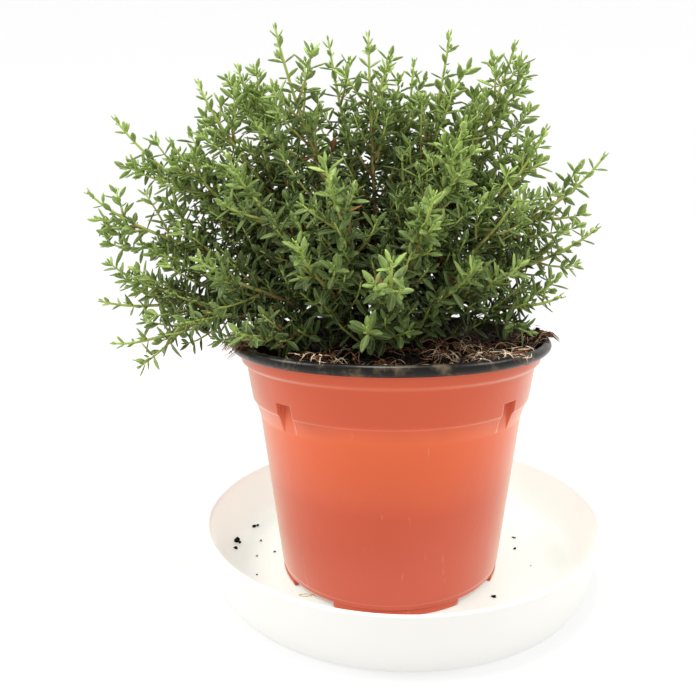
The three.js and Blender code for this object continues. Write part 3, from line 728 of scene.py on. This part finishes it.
HOLLOW_GAP = 0.4  # how far the soil stays off the pot
HEAP = {"around": 160, "rings": 50, "gap": 0.3, "side_top": 4.5}
GRANULE = {
    "count": 1300, "smallest": 0.3, "largest": 1.7, "stretch": (0.7, 1.3), "push": (0.72, 1.22),
    "within": 56,
}
# The mesh of a tuft, its lumps and the granules that stick to it.
CLOD = {"rings": 18, "around": 26, "smallest": 0.86, "swell": 0.2, "granules": 40, "granule": (0.4, 1.3)}
# A fibre of coir, in mm and radians. Past the lip it falls, and it climbs from the soil up to the lip.
FIBRE = {
    "steps": 7, "sides": 4, "length": (3.0, 10.0), "longer": (-22, 6), "lift": (0.05, 1.0),
    "hump": (-0.6, 2.4), "drift": (-0.6, 0.6), "wander": (-0.36, 0.36), "radius": (0.07, 0.18),
    "climb": 1.3, "fall": 0.9, "past_lip": 4.5, "spread_tone": 1.9,
}
# A ball of 20 faces, which is pushed out of shape for each crumb of soil.
GOLDEN = (1 + math.sqrt(5)) / 2
BALL_POINTS = np.array([
    (-1, GOLDEN, 0), (1, GOLDEN, 0), (-1, -GOLDEN, 0), (1, -GOLDEN, 0),
    (0, -1, GOLDEN), (0, 1, GOLDEN), (0, -1, -GOLDEN), (0, 1, -GOLDEN),
    (GOLDEN, 0, -1), (GOLDEN, 0, 1), (-GOLDEN, 0, -1), (-GOLDEN, 0, 1),
]) / math.sqrt(1 + GOLDEN * GOLDEN)
BALL_FACES = np.array([
    (0, 11, 5), (0, 5, 1), (0, 1, 7), (0, 7, 10), (0, 10, 11), (1, 5, 9), (5, 11, 4), (11, 10, 2),
    (10, 7, 6), (7, 1, 8), (3, 9, 4), (3, 4, 2), (3, 2, 6), (3, 6, 8), (3, 8, 9), (4, 9, 5),
    (2, 4, 11), (6, 2, 10), (8, 6, 7), (9, 8, 1),
])
# Mats of coir: place, spread, how far they are lifted, how many fibres each has and how pale they are.
MATS = (
    {"x": -28, "y": -24, "reach_x": 17, "reach_y": 17, "lift": 4.5, "count": 180, "pale": 0.55},
    {"x": 4, "y": -28, "reach_x": 17, "reach_y": 17, "lift": 3.0, "count": 140, "pale": 0.5},
    {"x": 34, "y": -26, "reach_x": 18, "reach_y": 16, "lift": 4.5, "count": 260, "pale": 0.6},
    {"x": 6, "y": 2, "reach_x": 12, "reach_y": 10, "lift": 9.0, "count": 90, "pale": 0.28},
    {"x": -58, "y": -23, "reach_x": 8, "reach_y": 12, "lift": 7.0, "count": 260, "pale": 0.62},
    {"x": 58, "y": -5, "reach_x": 6, "reach_y": 9, "lift": 6.0, "count": 150, "pale": 0.5},
    {"x": -20, "y": -50, "reach_x": 13, "reach_y": 9, "lift": 7.0, "count": 110, "pale": 0.58},
    {"x": 33, "y": -46, "reach_x": 18, "reach_y": 10, "lift": 5.0, "count": 100, "pale": 0.66},
    {"x": 0, "y": 0, "reach_x": 54, "reach_y": 54, "lift": 1.5, "count": 260, "pale": 0.3},
)


def rough_height(x, y):
    """The heap with its lumps and crumbs."""
    lump, crumb = SOIL["lump"], SOIL["crumb"]
    coarse = noise.fractal((x / lump, y / lump, 3.1), 1.0, 2.0, 3)
    fine = noise.noise((x / crumb, y / crumb, 8.7))
    return soil_height(x, y) + SOIL["lump_rise"] * coarse + SOIL["crumb_rise"] * fine


def room_radius(z):
    """How far out the soil may reach inside the wall at height z."""
    outline = [point for point in reversed(inside_outline(HOLLOW_GAP)) if point[1] > POT["shoulder_z"] + 1]
    radii, heights = zip(*outline)
    return float(np.interp(z, heights, radii))


def add_heap(draft):
    """Soil inside the pot: a plain side, and a rough top in rings from the wall to the middle."""
    angles = even_angles(HEAP["around"])
    lug = POT["collar_radius"] - LUG["depth"] - POT["wall"] - HOLLOW_GAP
    edge = room_radius(SOIL["level"]) - HEAP["gap"]
    floor_and_wall = inside_outline(HOLLOW_GAP)[:-5:-1]
    side = [*floor_and_wall, (lug, POT["shoulder_z"] + 2), (lug, LUG["top"] + 2),
            (edge, SOIL["level"] - HEAP["side_top"])]
    rings = [[turned(radius, a, z) for a in angles] for radius, z in side]
    for i in range(1, HEAP["rings"] + 1):
        radius = max(edge * (1 - (i / HEAP["rings"]) ** 0.9), AXIS_GAP)
        places = [turned(radius, a, 0)[:2] for a in angles]
        rings.append([(x, y, rough_height(x, y)) for x, y in places])
    draft.add(np.array(rings).reshape(-1, 3), ring_faces(len(rings), len(angles)))


def add_granule(draft, draw, place, size):
    """A crumb of soil, each of its corners pushed in or out."""
    stretch = [draw(*GRANULE["stretch"]) for _ in range(3)]
    push = np.array([draw(*GRANULE["push"]) for _ in range(len(BALL_POINTS))])
    draft.add(BALL_POINTS * push[:, None] * stretch * size + place, BALL_FACES)


def clod_point(tuft, seed, polar, azimuth):
    """A point on a tuft, by its angles from the tuft's own upright axis."""
    across = math.sin(polar)
    unit = Vector((across * math.cos(azimuth), across * math.sin(azimuth), math.cos(polar)))
    lumps = noise.fractal(unit * 2.2 + Vector((seed, 0, 0)), 1.0, 2.0, 3)
    swell = CLOD["smallest"] + CLOD["swell"] * lumps
    x = unit.x * tuft["reach"] * swell
    y = unit.y * tuft["half_width"] * swell
    z = unit.z * tuft["half_height"] * swell
    tilt = math.radians(tuft["tilt"])
    x, z = x * math.cos(tilt) - z * math.sin(tilt), x * math.sin(tilt) + z * math.cos(tilt)
    turn = math.atan2(tuft["y"], tuft["x"])
    return (tuft["x"] + x * math.cos(turn) - y * math.sin(turn),
            tuft["y"] + x * math.sin(turn) + y * math.cos(turn), tuft["z"] + z)


def add_tuft(draft, tuft, seed):
    """A matted clod that leans over the lip, rough all over."""
    draw = seeded_draw(seed)
    rings, around = CLOD["rings"], CLOD["around"]
    points = np.array([
        settled(clod_point(tuft, seed, math.pi * i / rings, FULL_TURN * k / around))
        for i in range(rings + 1) for k in range(around)
    ])
    draft.add(points, ring_faces(rings + 1, around)[:, ::-1])
    for _ in range(CLOD["granules"]):
        corner = points[int(draw(0, len(points) - 1))]
        if corner[2] > rough_height(corner[0], corner[1]):
            add_granule(draft, draw, corner, draw(*CLOD["granule"]))


def settled(point):
    """Moves a point of the soil up or in so that it lies on the pot's lip and not in its wall."""
    x, y, z = point
    radius = math.hypot(x, y)
    limit = room_radius(z)
    over_lip = POT["lip_top"] + HOLLOW_GAP
    if radius <= limit or z > over_lip:
        return point
    if radius < LIP_INSIDE:
        return x * limit / radius, y * limit / radius, z
    return x, y, over_lip


def add_fibre(draft, draw, mat):
    """One wiry fibre that wanders over the soil, sometimes with an end in the air."""
    angle, part = draw(0, FULL_TURN), math.sqrt(draw())
    x = mat["x"] + mat["reach_x"] * part * math.cos(angle)
    y = mat["y"] + mat["reach_y"] * part * math.sin(angle)
    heading = draw(0, FULL_TURN)
    length = draw(*FIBRE["length"]) + max(draw(*FIBRE["longer"]), 0)
    lift = mat["lift"] * draw(*FIBRE["lift"]) * (1 - 0.5 * part)
    hump, drift = draw(*FIBRE["hump"]), draw(*FIBRE["drift"])
    steps, lip = FIBRE["steps"], POT["lip_radius"]
    points, reached = [], []
    for i in range(steps):
        height = rough_height(x, y) + 0.15 + lift + hump * math.sin(math.pi * i / (steps - 1))
        radius = math.hypot(x, y)
        climb = FIBRE["climb"] * max(lip - 4 - radius, 0)
        height = max(height, POT["lip_top"] + 0.5 + hump - climb)
        if radius > lip:
            height -= FIBRE["fall"] * (radius - lip)
        points.append((x, y, height))
        reached.append(radius)
        heading += drift * 0.4 + draw(*FIBRE["wander"])
        x += math.cos(heading) * length / steps
        y += math.sin(heading) * length / steps
    if max(reached) > lip + FIBRE["past_lip"]:
        return
    thick = draw(*FIBRE["radius"])
    tone = min(draw() * mat["pale"] * FIBRE["spread_tone"], 1.0)
    radii = [thick * (1 - 0.6 * abs(2 * i / (steps - 1) - 1) ** 3) for i in range(steps)]
    add_tube(draft, points, radii, FIBRE["sides"], 1, chance=tone)


def soil_piece(soil, coir):
    """The heap of soil with its granules, its tufts and its mats of coir."""
    draft = Draft(values=("chance",))
    add_heap(draft)
    draw = seeded_draw(SEEDS["granules"])
    for _ in range(GRANULE["count"]):
        angle, radius = draw(0, FULL_TURN), GRANULE["within"] * math.sqrt(draw())
        x, y = radius * math.cos(angle), radius * math.sin(angle)
        size = draw(GRANULE["smallest"], GRANULE["largest"]) * draw(0.5, 1)
        add_granule(draft, draw, (x, y, rough_height(x, y) + 0.2 * size), size)
    for index, tuft in enumerate(TUFTS):
        add_tuft(draft, tuft, SEEDS["tufts"] + index)
    for index, mat in enumerate(MATS):
        pull = seeded_draw(SEEDS["mats"] + index)
        for _ in range(mat["count"]):
            add_fibre(draft, pull, mat)
    return draft.piece("soil_and_coir", [soil, coir])


# Crumbs that have fallen into the saucer: place and size. The first ones lie on its sloping wall.
CRUMBS = (
    (-76.2, 5.0, 3.6, 1.5), (-75.3, -1.3, 3.0, 0.9), (-71.3, 20.5, 2.9, 0.8), (-69.6, 21.6, 2.9, 0.7),
    (-65.4, 6.6, 2.7, 0.5), (-57.2, -3.7, 2.7, 0.5), (-64.6, -7.2, 2.6, 0.4), (-61.6, -23.0, 2.6, 0.4),
    (53.3, 9.5, 2.7, 0.6), (51.5, -0.9, 2.7, 0.7), (55.2, -15.7, 2.5, 0.3), (35.0, -39.2, 2.7, 0.7),
    (-20.5, 66.0, 2.7, 0.9), (14.0, 62.5, 2.6, 0.6), (41.0, 47.0, 2.7, 0.8), (-44.0, 50.5, 2.6, 0.5),
)
SMALL_CRUMBS = {"count": 3, "around": (-1.4, 1.4), "size": 0.45}
WISP = {"place": (-38.8, -38.2), "length": 7.0, "bends": (-1.0, 0.6), "steps": 8, "radius": 0.14, "tone": 0.8}


def crumbs_piece(soil, coir):
    """Crumbs with smaller ones round them, and a wisp of coir, on the saucer."""
    draft = Draft(values=("chance",))
    draw = seeded_draw(SEEDS["fallen"])
    around = SMALL_CRUMBS["around"]
    for x, y, z, size in CRUMBS:
        add_granule(draft, draw, (x, y, z), size)
        for _ in range(SMALL_CRUMBS["count"]):
            place = (x + draw(*around) * size, y + draw(*around) * size, z)
            add_granule(draft, draw, place, size * SMALL_CRUMBS["size"])
    x, y = WISP["place"]
    length, steps = WISP["length"], WISP["steps"]
    for bend in WISP["bends"]:
        wisp = [(x + length * (t - 0.5), y - bend * length * t * (t - 0.8),
                 SAUCER["floor"] + 0.25 + 0.5 * t * (1 - t)) for t in (i / steps for i in range(steps + 1))]
        add_tube(draft, wisp, [WISP["radius"]] * len(wisp), 5, 1, chance=WISP["tone"])
    return draft.piece("fallen_crumbs", [soil, coir], offset=(0, 0))


# Thyme


class Axis:
    """A line of points, from foot to tip, that is walked by distance from its tip."""

    def __init__(self, points):
        self.points = [Vector(p) for p in points]
        self.lengths = [0.0]
        for one, other in zip(self.points, self.points[1:]):
            self.lengths.append(self.lengths[-1] + (other - one).length)
        self.length = self.lengths[-1]

    def at(self, from_tip):
        """The place at this distance from the tip, and the direction there."""
        reach = min(max(self.length - from_tip, 0.0), self.length)
        i = max(int(np.searchsorted(self.lengths, reach)), 1)
        part = (reach - self.lengths[i - 1]) / (self.lengths[i] - self.lengths[i - 1])
        low, high = max(i - 2, 0), min(i + 1, len(self.points) - 1)
        along = (self.points[high] - self.points[low]).normalized()
        return self.points[i - 1].lerp(self.points[i], part), along


def bezier(controls, steps):
    """Points along the curve that its control points draw."""
    t = np.linspace(0.0, 1.0, steps + 1)[:, None]
    rows = [np.broadcast_to(np.array(c, float), (steps + 1, 3)) for c in controls]
    while len(rows) > 1:
        rows = [one * (1 - t) + other * t for one, other in zip(rows, rows[1:])]
    return rows[0]


def fill_tips():
    """Tips of the stems that fill the back of the crown."""
    tips = []
    x0, y0, z0 = FILL["heart"]
    for index in range(FILL["count"]):
        draw = seeded_draw(SEEDS["fill"] + index)
        share = (index * FILL["turn_share"]) % 1
        stray = draw(-FILL["stray"], FILL["stray"])
        azimuth = math.radians(FILL["first_turn"] + FILL["turns"] * share + stray)
        tilt = math.radians(FILL["first_tilt"] + FILL["tilts"] * (index + 0.5) / FILL["count"])
        swell = draw(*FILL["swell"])
        flat = math.sin(tilt) * swell
        tips.append((
            x0 + FILL["half_width"] * flat * math.cos(azimuth),
            y0 + FILL["half_depth"] * flat * math.sin(azimuth),
            z0 + FILL["height"] * math.cos(tilt) * swell,
        ))
    return tips


def stem_feet(tips):
    """Feet of the stems: the more a stem leans, the further out it stands, and none touch."""
    feet = []
    for tip in tips:
        lean = tip - HEART
        azimuth = math.atan2(lean.y, lean.x)
        reach = STEM["base_reach"] * math.acos(lean.z / lean.length) / QUARTER
        feet.append(Vector((HEART.x + reach * math.cos(azimuth), HEART.y + reach * math.sin(azimuth))))
    for _ in range(STEM["gap_rounds"]):
        for i in range(len(feet)):
            for j in range(i):
                away = feet[i] - feet[j]
                short = STEM["base_gap"] - away.length
                if short > 0:
                    away.normalize()
                    feet[i] += away * short / 2
                    feet[j] -= away * short / 2
    return feet


def make_stem(tip, foot, number):
    """The line that a stem takes from its foot in the soil to its tip, as in the solids."""
    draw = seeded_draw(number)
    ground = Vector((foot.x, foot.y, soil_height(foot.x, foot.y)))
    lean = tip - ground
    length = lean.length
    outward = Vector((lean.x, lean.y, 0)).normalized()
    sideways = UP.cross(outward)
    tilt = math.acos(lean.z / length)
    # A stem rises steeply, leans over and ends more upright than it leans, unless it leans far out.
    tip_tilt = tilt * (0.72 + 0.3 * (tilt / QUARTER) ** 2)
    rise = (outward * 0.3 * math.sin(tilt) + UP).normalized()
    ending = outward * math.sin(tip_tilt) + UP * math.cos(tip_tilt)
    sway = draw(-STEM["sway"], STEM["sway"]) * length
    arch = 0.36 + 0.3 * (tilt / QUARTER) ** 6
    late = tip - ending * 0.33 * length + sideways * sway
    axis = Axis(bezier((ground, ground + rise * arch * length, late, tip), STEM["steps"]))
    return {"number": number, "axis": axis, "ground": ground, "rise": rise, "sideways": sideways,
            "twist": draw(0, math.pi)}


def frame_on(axis, side, turn, from_tip):
    """Place, direction and two axes across, turned by `turn`, at a distance from an axis's tip."""
    place, along = axis.at(from_tip)
    across, over = cross_axes(along, side)
    out = across * math.cos(turn) + over * math.sin(turn)
    return place, along, out, along.cross(out)


def solid_shoot(stem, node):
    """The side shoot that the solids have at this node."""
    draw = seeded_draw(stem["number"] * 100 + SEEDS["shoots"] + node)
    axis = stem["axis"]
    from_tip = min(SHOOTS["first"] + node * NODE_STEP, 0.98 * axis.length)
    place, along, across, over = frame_on(axis, stem["sideways"], stem["twist"], from_tip)
    side = 1 if draw() < 0.5 else -1
    roll, tilt = draw(*SHOOTS["roll"]), draw(*SHOOTS["tilt"])
    out = across * side * math.cos(roll) + over * side * math.sin(roll)
    reach = along * math.cos(tilt) + out * math.sin(tilt)
    length = min(SHOOTS["shortest"] + SHOOTS["growth"] * node, SHOOTS["longest"]) * draw(*SHOOTS["length"])
    bend = place + reach * 0.55 * length
    tip = bend + reach * 0.25 * length + along * 0.22 * length
    return Axis(bezier((place, bend, tip), SHOOTS["steps"]))


def branch_axis(place, reach, along, length):
    """A side branch that leaves at `reach` and then turns up towards its parent's direction."""
    bend = place + reach * 0.55 * length
    turn = (along * 0.6 + UP * 0.4).normalized()
    return Axis(bezier((place, bend, bend + reach * 0.28 * length + turn * 0.3 * length), 10))


# Leaves may stand this far proud of the solids' box.
FIELD_MARGIN = (cad_box[1] - cad_box[0]) * 0.022
FIELD_LOW = (cad_box[0] - FIELD_MARGIN) / METRES_PER_MM
FIELD_HIGH = (cad_box[1] + FIELD_MARGIN) / METRES_PER_MM
# How far leaves stay from the soil, the wall and the lip, and how low they may hang beside the pot.
LEAF_GAP = {"over": 1.2, "inside": 1.0, "beside": 4.0, "above_lip": 1.5, "lowest": 70}


def shade_at(point):
    """0 for a leaf at the outside of the crown, up to 1 for an old one deep inside it."""
    sizes = (FILL["half_width"], FILL["half_depth"], FILL["height"])
    x, y, z = ((value - middle) / size for value, middle, size in zip(point, FILL["heart"], sizes))
    return smooth_step(0.08, 0.5, 1 - math.sqrt(x * x + y * y + z * z))


def is_clear(point):
    """True where a leaf may be: inside the plant's field, over the soil and clear of the pot."""
    x, y = point.x + POT["offset"][0], point.y + POT["offset"][1]
    if not (FIELD_LOW.x < x < FIELD_HIGH.x and FIELD_LOW.y < y < FIELD_HIGH.y and point.z < FIELD_HIGH.z):
        return False
    radius = math.hypot(point.x, point.y)
    over_lip = point.z > POT["lip_top"] + LEAF_GAP["over"]
    if radius > POT["lip_radius"] + LEAF_GAP["above_lip" if over_lip else "beside"]:
        return point.z > LEAF_GAP["lowest"]
    if radius > POT["collar_top_radius"] - POT["wall"] - LEAF_GAP["inside"]:
        return over_lip
    return point.z > soil_height(point.x, point.y) + LEAF_GAP["over"]


class Sprig:
    """All that grows from one foot: tubes of wood, and leaves kept as rows until the mesh is made."""

    def __init__(self, number):
        self.number = number
        self.draw = seeded_draw(SEEDS["sprigs"] + number)
        self.bush = BUSH.get(number, 1.0)
        self.wood = []
        self.large = []
        self.small = []

    def add_wood(self, axis, kind, age_foot, age_tip, root=None):
        """A tube along an axis, thinner and younger towards its tip. `root` is a point below its foot."""
        foot_radius, tip_radius, sides, step = WOOD[kind]
        count = max(int(axis.length / step), 3)
        distances = [axis.length * (1 - i / count) for i in range(count + 1)]
        points = [axis.at(distance)[0] for distance in distances]
        parts = [1 - distance / axis.length for distance in distances]
        if root is not None:
            points.insert(0, root)
            parts.insert(0, 0.0)
        radii = [foot_radius + (tip_radius - foot_radius) * part for part in parts]
        ages = [age_foot + (age_tip - age_foot) * part for part in parts]
        self.wood.append((points, radii, sides, ages))

    def add_leaf(self, base, along, out, tilt, length, curl, age):
        """A leaf whose blade reaches from `base`, tilted from `along` towards `out`."""
        draw = self.draw
        reach = (along * math.cos(tilt) + out * math.sin(tilt) + UP * 0.1).normalized()
        if not all(is_clear(base + reach * part * length) for part in (0.4, 0.7, 1.0)):
            return
        face = along * math.sin(tilt) - out * math.cos(tilt) + UP * 0.25
        face = (face - reach * face.dot(reach)).normalized()
        side = reach.cross(face)
        roll = draw(*LEAF["roll"])
        turn, lean = math.cos(roll), math.sin(roll)
        side, face = side * turn + face * lean, face * turn - side * lean
        half = LEAF["half_width"] * (length / LEAF["length"]) ** 0.85 * draw(*LEAF["widths"])
        alive = draw() > LEAF["dead_share"] or age < LEAF["dead_age"]
        chance = draw() if alive else 2.0
        row = (*base, *reach, *side, *face, length, half, curl, age, chance)
        (self.large if length > LEAF["large"] else self.small).append(row)

    def dress(self, axis, side, twist, size, age, bare, level):
        """Opposite pairs of leaves down an axis from its tip, each pair a quarter turn on."""
        draw = self.draw
        from_tip, node = 0.0, 0
        growth = (LEADER if self.number <= LEADERS else SHOOT, SHOOT, AXIL)[level]
        gaps, sizes = growth["gaps"], growth["sizes"]
        while True:
            gap = gaps[min(node, len(gaps) - 1)]
            from_tip += gap * (0.55 + 0.45 * size) * draw(0.85, 1.15)
            if from_tip > axis.length - bare:
                return
            turn = twist + node * QUARTER + draw(*LEAF["twist"])
            place, along, out, _ = frame_on(axis, side, turn, from_tip)
            shade = shade_at(place)
            # The leaf's age is real ageing, raised deep in the crown as painted shade and lowered at its
            # outside as painted light.
            distance = AGEING_AND_SHADE["outside"] - (AGEING_AND_SHADE["outside"] - AGEING_AND_SHADE["inside"]) * shade
            age_and_shade = 1 - (1 - age) * math.exp(-from_tip / distance) * (1 - AGEING_AND_SHADE["most_in_shade"] * shade)
            age_and_shade *= AGEING_AND_SHADE["painted_light_factor"] + (1 - AGEING_AND_SHADE["painted_light_factor"]) * shade
            for way in (1, -1):
                open_tilt = LEAF_TILTS[min(node, len(LEAF_TILTS) - 1)]
                tilt = math.radians(open_tilt + LEAF["old_tilt"] * age_and_shade + draw(*LEAF["tilt"]))
                grown = sizes[min(node, len(sizes) - 1)] * size
                if node > 1:
                    curl = draw(*LEAF["curl"]) + LEAF["old_curl"] * age_and_shade
                else:
                    curl = draw(*LEAF["young_curl"])
                length = LEAF["length"] * grown * draw(*LEAF["lengths"])
                self.add_leaf(place + out * way * 0.3, along, out * way, tilt, length, curl, age_and_shade)
            if level < 2 and node >= 2:
                self.branch(along, out, place, from_tip, node, age_and_shade, level)
            node += 1

    def branch(self, along, out, place, from_tip, node, age, level):
        """Shoots in both axils of a node: short tufts of leaves, and now and then a real branch."""
        draw = self.draw
        bush = self.bush + (1 - self.bush) * smooth_step(*BUSHY_FROM, from_tip)
        for way in (1, -1):
            tilt = math.radians(draw(*BRANCH["tilt"]))
            reach = (along * math.cos(tilt) + out * way * math.sin(tilt)).normalized()
            if level == 0 and from_tip > BRANCH["from"] and draw() < BRANCH["chance"] * bush:
                longest = min(BRANCH["shortest"] + BRANCH["growth"] * from_tip, BRANCH["longest"])
                made = branch_axis(place, reach, along, longest * draw(*BRANCH["length"]))
                if all(is_clear(point) for point in made.points[1:]):
                    self.add_wood(made, "branch", 0.25 + 0.5 * age, 0.05)
                    turn, size = draw(0, math.pi), draw(*BRANCH["size"])
                    self.dress(made, out, turn, size, 0.3 * age, BRANCH["bare"], 1)
                    continue
            longest = min(TUFT["shortest"] + TUFT["growth"] * (node - 1), TUFT["longest"])
            length = longest * draw(*TUFT["length"])
            chance = (TUFT["chance"] + TUFT["bushy_chance"] * bush) * (1 - TUFT["shaded"] * shade_at(place))
            if draw() > chance:
                continue
            made = branch_axis(place, reach, along, length)
            if length > TUFT["with_wood"]:
                self.add_wood(made, "tuft", 0.1, 0.0)
            turn, size = draw(0, math.pi), draw(*TUFT["size"])
            self.dress(made, out, turn, size, 0.55 * age, TUFT["bare"], 2)

    def reach_out(self, stem, from_tip, tip):
        """A long branch from the stem to a tip of its own."""
        place, along = stem["axis"].at(from_tip)
        away = tip - place
        length = away.length
        away.normalize()
        bend = place + (along * 0.4 + away * 0.6) * 0.4 * length
        late = tip - (away * 0.7 + UP * 0.3) * 0.35 * length
        made = Axis(bezier((place, bend, late, tip), 20))
        self.add_wood(made, "long_branch", 0.6, 0.05)
        self.dress(made, stem["sideways"], self.draw(0, math.pi), 0.96, 0.05, 2.0, 1)


def blade_width(u):
    """Half the width of the blade along its length, as a share of the widest."""
    blade = np.sin(math.pi * np.clip(u, 0, 1) ** 0.9) ** 0.66
    stalk = np.clip(u / 0.24, 0, 1)
    return np.where(u <= 0, 0.13, blade * (0.3 + 0.7 * stalk * stalk * (3 - 2 * stalk)))


# Across a blade: place from edge to edge, lift as a share of the half width, and drop in mm. The
# midrib lies in a groove between two halves that rise from it, and is a ridge underneath.
SECTION = ((-1.0, 0.06, 0.1), (0.0, -0.2, 0.0), (1.0, 0.06, 0.1), (0.0, -0.24, 0.34))
UNDERSIDE = (0.25, 0.0, 0.25, 1.0)
# The tip: place along the blade and across it, lift, drop, and its values across and under.
BLADE_TIP = (1.0, 0.0, -0.08, 0.1, 0.0, 0.3)
# Where along a blade its rings are, from the stalk to just before the tip.
LARGE_STATIONS = (0.0, 0.15, 0.4, 0.68, 0.9)
SMALL_STATIONS = (0.0, 0.34, 0.78)


def leaf_template(stations):
    """Points and faces of one blade of unit size with rings at the given stations."""
    count, around = len(stations), len(SECTION)
    u = np.repeat(stations, around)
    v, lift, drop = (np.tile(column, count) for column in zip(*SECTION))
    width = blade_width(u)
    under = np.tile(UNDERSIDE, count)
    table = np.stack([u, v * width, lift * width, drop, v, under], axis=1)
    last = (count - 1) * around
    corner = np.arange(around)
    peak = np.stack([last + corner, last + (corner + 1) % around, np.full(around, last + around)], axis=1)
    root = np.array([[3, 2, 1], [3, 1, 0]])
    return np.concatenate([table, [BLADE_TIP]]), ring_faces(count, around), np.concatenate([peak, root])


def add_leaves(draft, rows, stations):
    """Blades for all the leaves in rows, made at one go from one template."""
    if not rows:
        return
    rows = np.array(rows)
    base, reach, side, face = (rows[:, None, i:i + 3] for i in (0, 3, 6, 9))
    length, half, curl, age, chance = (rows[:, i][:, None] for i in range(12, 17))
    table, quads, triangles = leaf_template(np.array(stations))
    u, wide, lift, drop, across, under = (table[:, i][None, :] for i in range(6))
    high = lift * half - drop - curl * length * u * u
    points = base + reach * (length * u)[..., None] + side * (wide * half)[..., None]
    points = points + face * high[..., None]
    each = len(table)
    offsets = np.arange(len(rows))[:, None, None] * each
    values = {
        name: np.broadcast_to(value, (len(rows), each)).ravel()
        for name, value in zip(LEAF_VALUES, (age, chance, across, u, under))
    }
    start = draft.add(points.reshape(-1, 3), (quads[None] + offsets).reshape(-1, 4), 0, **values)
    draft.add_faces((triangles[None] + offsets).reshape(-1, 3), start)


def stem_piece(stem, leaf, bark):
    """One leafy stem with its branches, as one mesh."""
    sprig = Sprig(stem["number"])
    axis, side, twist = stem["axis"], stem["sideways"], stem["twist"]
    root = stem["ground"] - stem["rise"] * STEM["rooted"]
    sprig.add_wood(axis, "stem", 1.0, 0.05, root)
    sprig.dress(axis, side, twist, 1.0, 0.0, 0.16 * axis.length + 4, 0)
    for node in SHOOTS["nodes"]:
        shoot = solid_shoot(stem, node)
        if all(is_clear(point) for point in shoot.points[SHOOTS["checked_from"]:]):
            sprig.add_wood(shoot, "shoot", 0.5, 0.05)
            sprig.dress(shoot, side, twist, 0.95, 0.1, 1.5, 1)
    for from_tip, tip in BRANCHES.get(stem["number"], ()):
        sprig.reach_out(stem, from_tip, Vector(tip))
    draft = Draft(values=LEAF_VALUES)
    for points, radii, sides, ages in sprig.wood:
        add_tube(draft, points, radii, sides, 1, age=ages)
    add_leaves(draft, sprig.large, LARGE_STATIONS)
    add_leaves(draft, sprig.small, SMALL_STATIONS)
    return draft.piece("thyme_sprig_%02d" % stem["number"], [leaf, bark])


# Camera, light and floor. The camera stands where the photograph was taken from.

STUDIO = {"floor": 900.0, "sweep": 500.0, "wall": 1400.0, "sweep_steps": 12, "around": 96, "glow": 0.6}
# Soft boxes: place and size in metres, and power in watts. They all face the middle of the plant.
LIGHTS = (
    ("top_softbox", (-0.05, 0.0, 1.15), 0.3, 8.5),
    ("left_softbox", (-0.8, -0.05, 0.85), 0.35, 6.0),
    ("right_softbox", (0.8, -0.05, 0.85), 0.35, 4.5),
)
LIT_POINT = Vector((0, 0, 0.11))
CAMERA = {
    "place": (-10.97, -264.74, 143.56), "tilt_down": 10.36, "focal_share": 626.4 / 696, "sensor": 36.0,
    "shift_x": -29.6 / 696,
}


def add_camera():
    """The camera, with the photograph's view of the plant."""
    data = bpy.data.cameras.new("camera")
    data.sensor_width = CAMERA["sensor"]
    data.lens = CAMERA["sensor"] * CAMERA["focal_share"]
    data.shift_x = CAMERA["shift_x"]
    data.clip_start = 0.01
    camera = bpy.data.objects.new("camera", data)
    camera.location = Vector(CAMERA["place"]) * METRES_PER_MM
    camera.rotation_euler = (math.radians(90 - CAMERA["tilt_down"]), 0, 0)
    bpy.context.scene.collection.objects.link(camera)
    bpy.context.scene.camera = camera


def add_light(name, place, size, power):
    """A square soft box that faces the plant."""
    data = bpy.data.lights.new(name, "AREA")
    data.size = size
    data.energy = power
    light = bpy.data.objects.new(name, data)
    light.location = place
    light.rotation_euler = (LIT_POINT - Vector(place)).to_track_quat("-Z", "Y").to_euler()
    bpy.context.scene.collection.objects.link(light)


def add_backdrop():
    """A floor that turns up into a wall all round in one soft curve, so that no view shows an edge."""
    floor, sweep, steps = STUDIO["floor"], STUDIO["sweep"], STUDIO["sweep_steps"]
    outline = [(AXIS_GAP, 0.0), (floor, 0.0)]
    for i in range(1, steps + 1):
        turn = QUARTER * i / steps
        outline.append((floor + sweep * math.sin(turn), sweep * (1 - math.cos(turn))))
    outline.append((floor + sweep, STUDIO["wall"]))
    draft = Draft()
    add_lathe(draft, outline, even_angles(STUDIO["around"]))
    backdrop = draft.piece("backdrop", [white_backdrop()], offset=(0, 0))


def add_studio():
    """White light from all round, and the soft boxes."""
    world = bpy.data.worlds.new("studio")
    world.use_nodes = True
    background = world.node_tree.nodes["Background"]
    background.inputs["Color"].default_value = paint("#ffffff")
    background.inputs["Strength"].default_value = STUDIO["glow"]
    bpy.context.scene.world = world
    bpy.context.scene.view_settings.view_transform = "Standard"
    for light in LIGHTS:
        add_light(*light)


def settle(piece, slot, *nodes):
    """Says what a piece rides on and hides the solids that it stands for; its finish, slot, is not used."""
    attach(piece, "root")
    if nodes:
        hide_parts(*nodes)


add_camera()
add_studio()
add_backdrop()

soil_finish = potting_soil()
coir_finish = coir_fibre()
settle(saucer_piece(white_polypropylene()), "saucer", "saucer")
settle(pot_piece(terracotta_polypropylene(), black_polypropylene()), "pot", "pot")
settle(soil_piece(soil_finish, coir_finish), "soil", "soil")
settle(crumbs_piece(soil_finish, coir_finish), "soil")

leaf_finish = thyme_leaf()
bark_finish = thyme_bark()
all_tips = [Vector(tip) for tip in (*TIPS, *fill_tips())]
for index, (tip, foot) in enumerate(zip(all_tips, stem_feet(all_tips))):
    grown_stem = make_stem(tip, foot, index + 1)
    settle(stem_piece(grown_stem, leaf_finish, bark_finish), "thyme", "thyme_stem_%02d" % (index + 1))
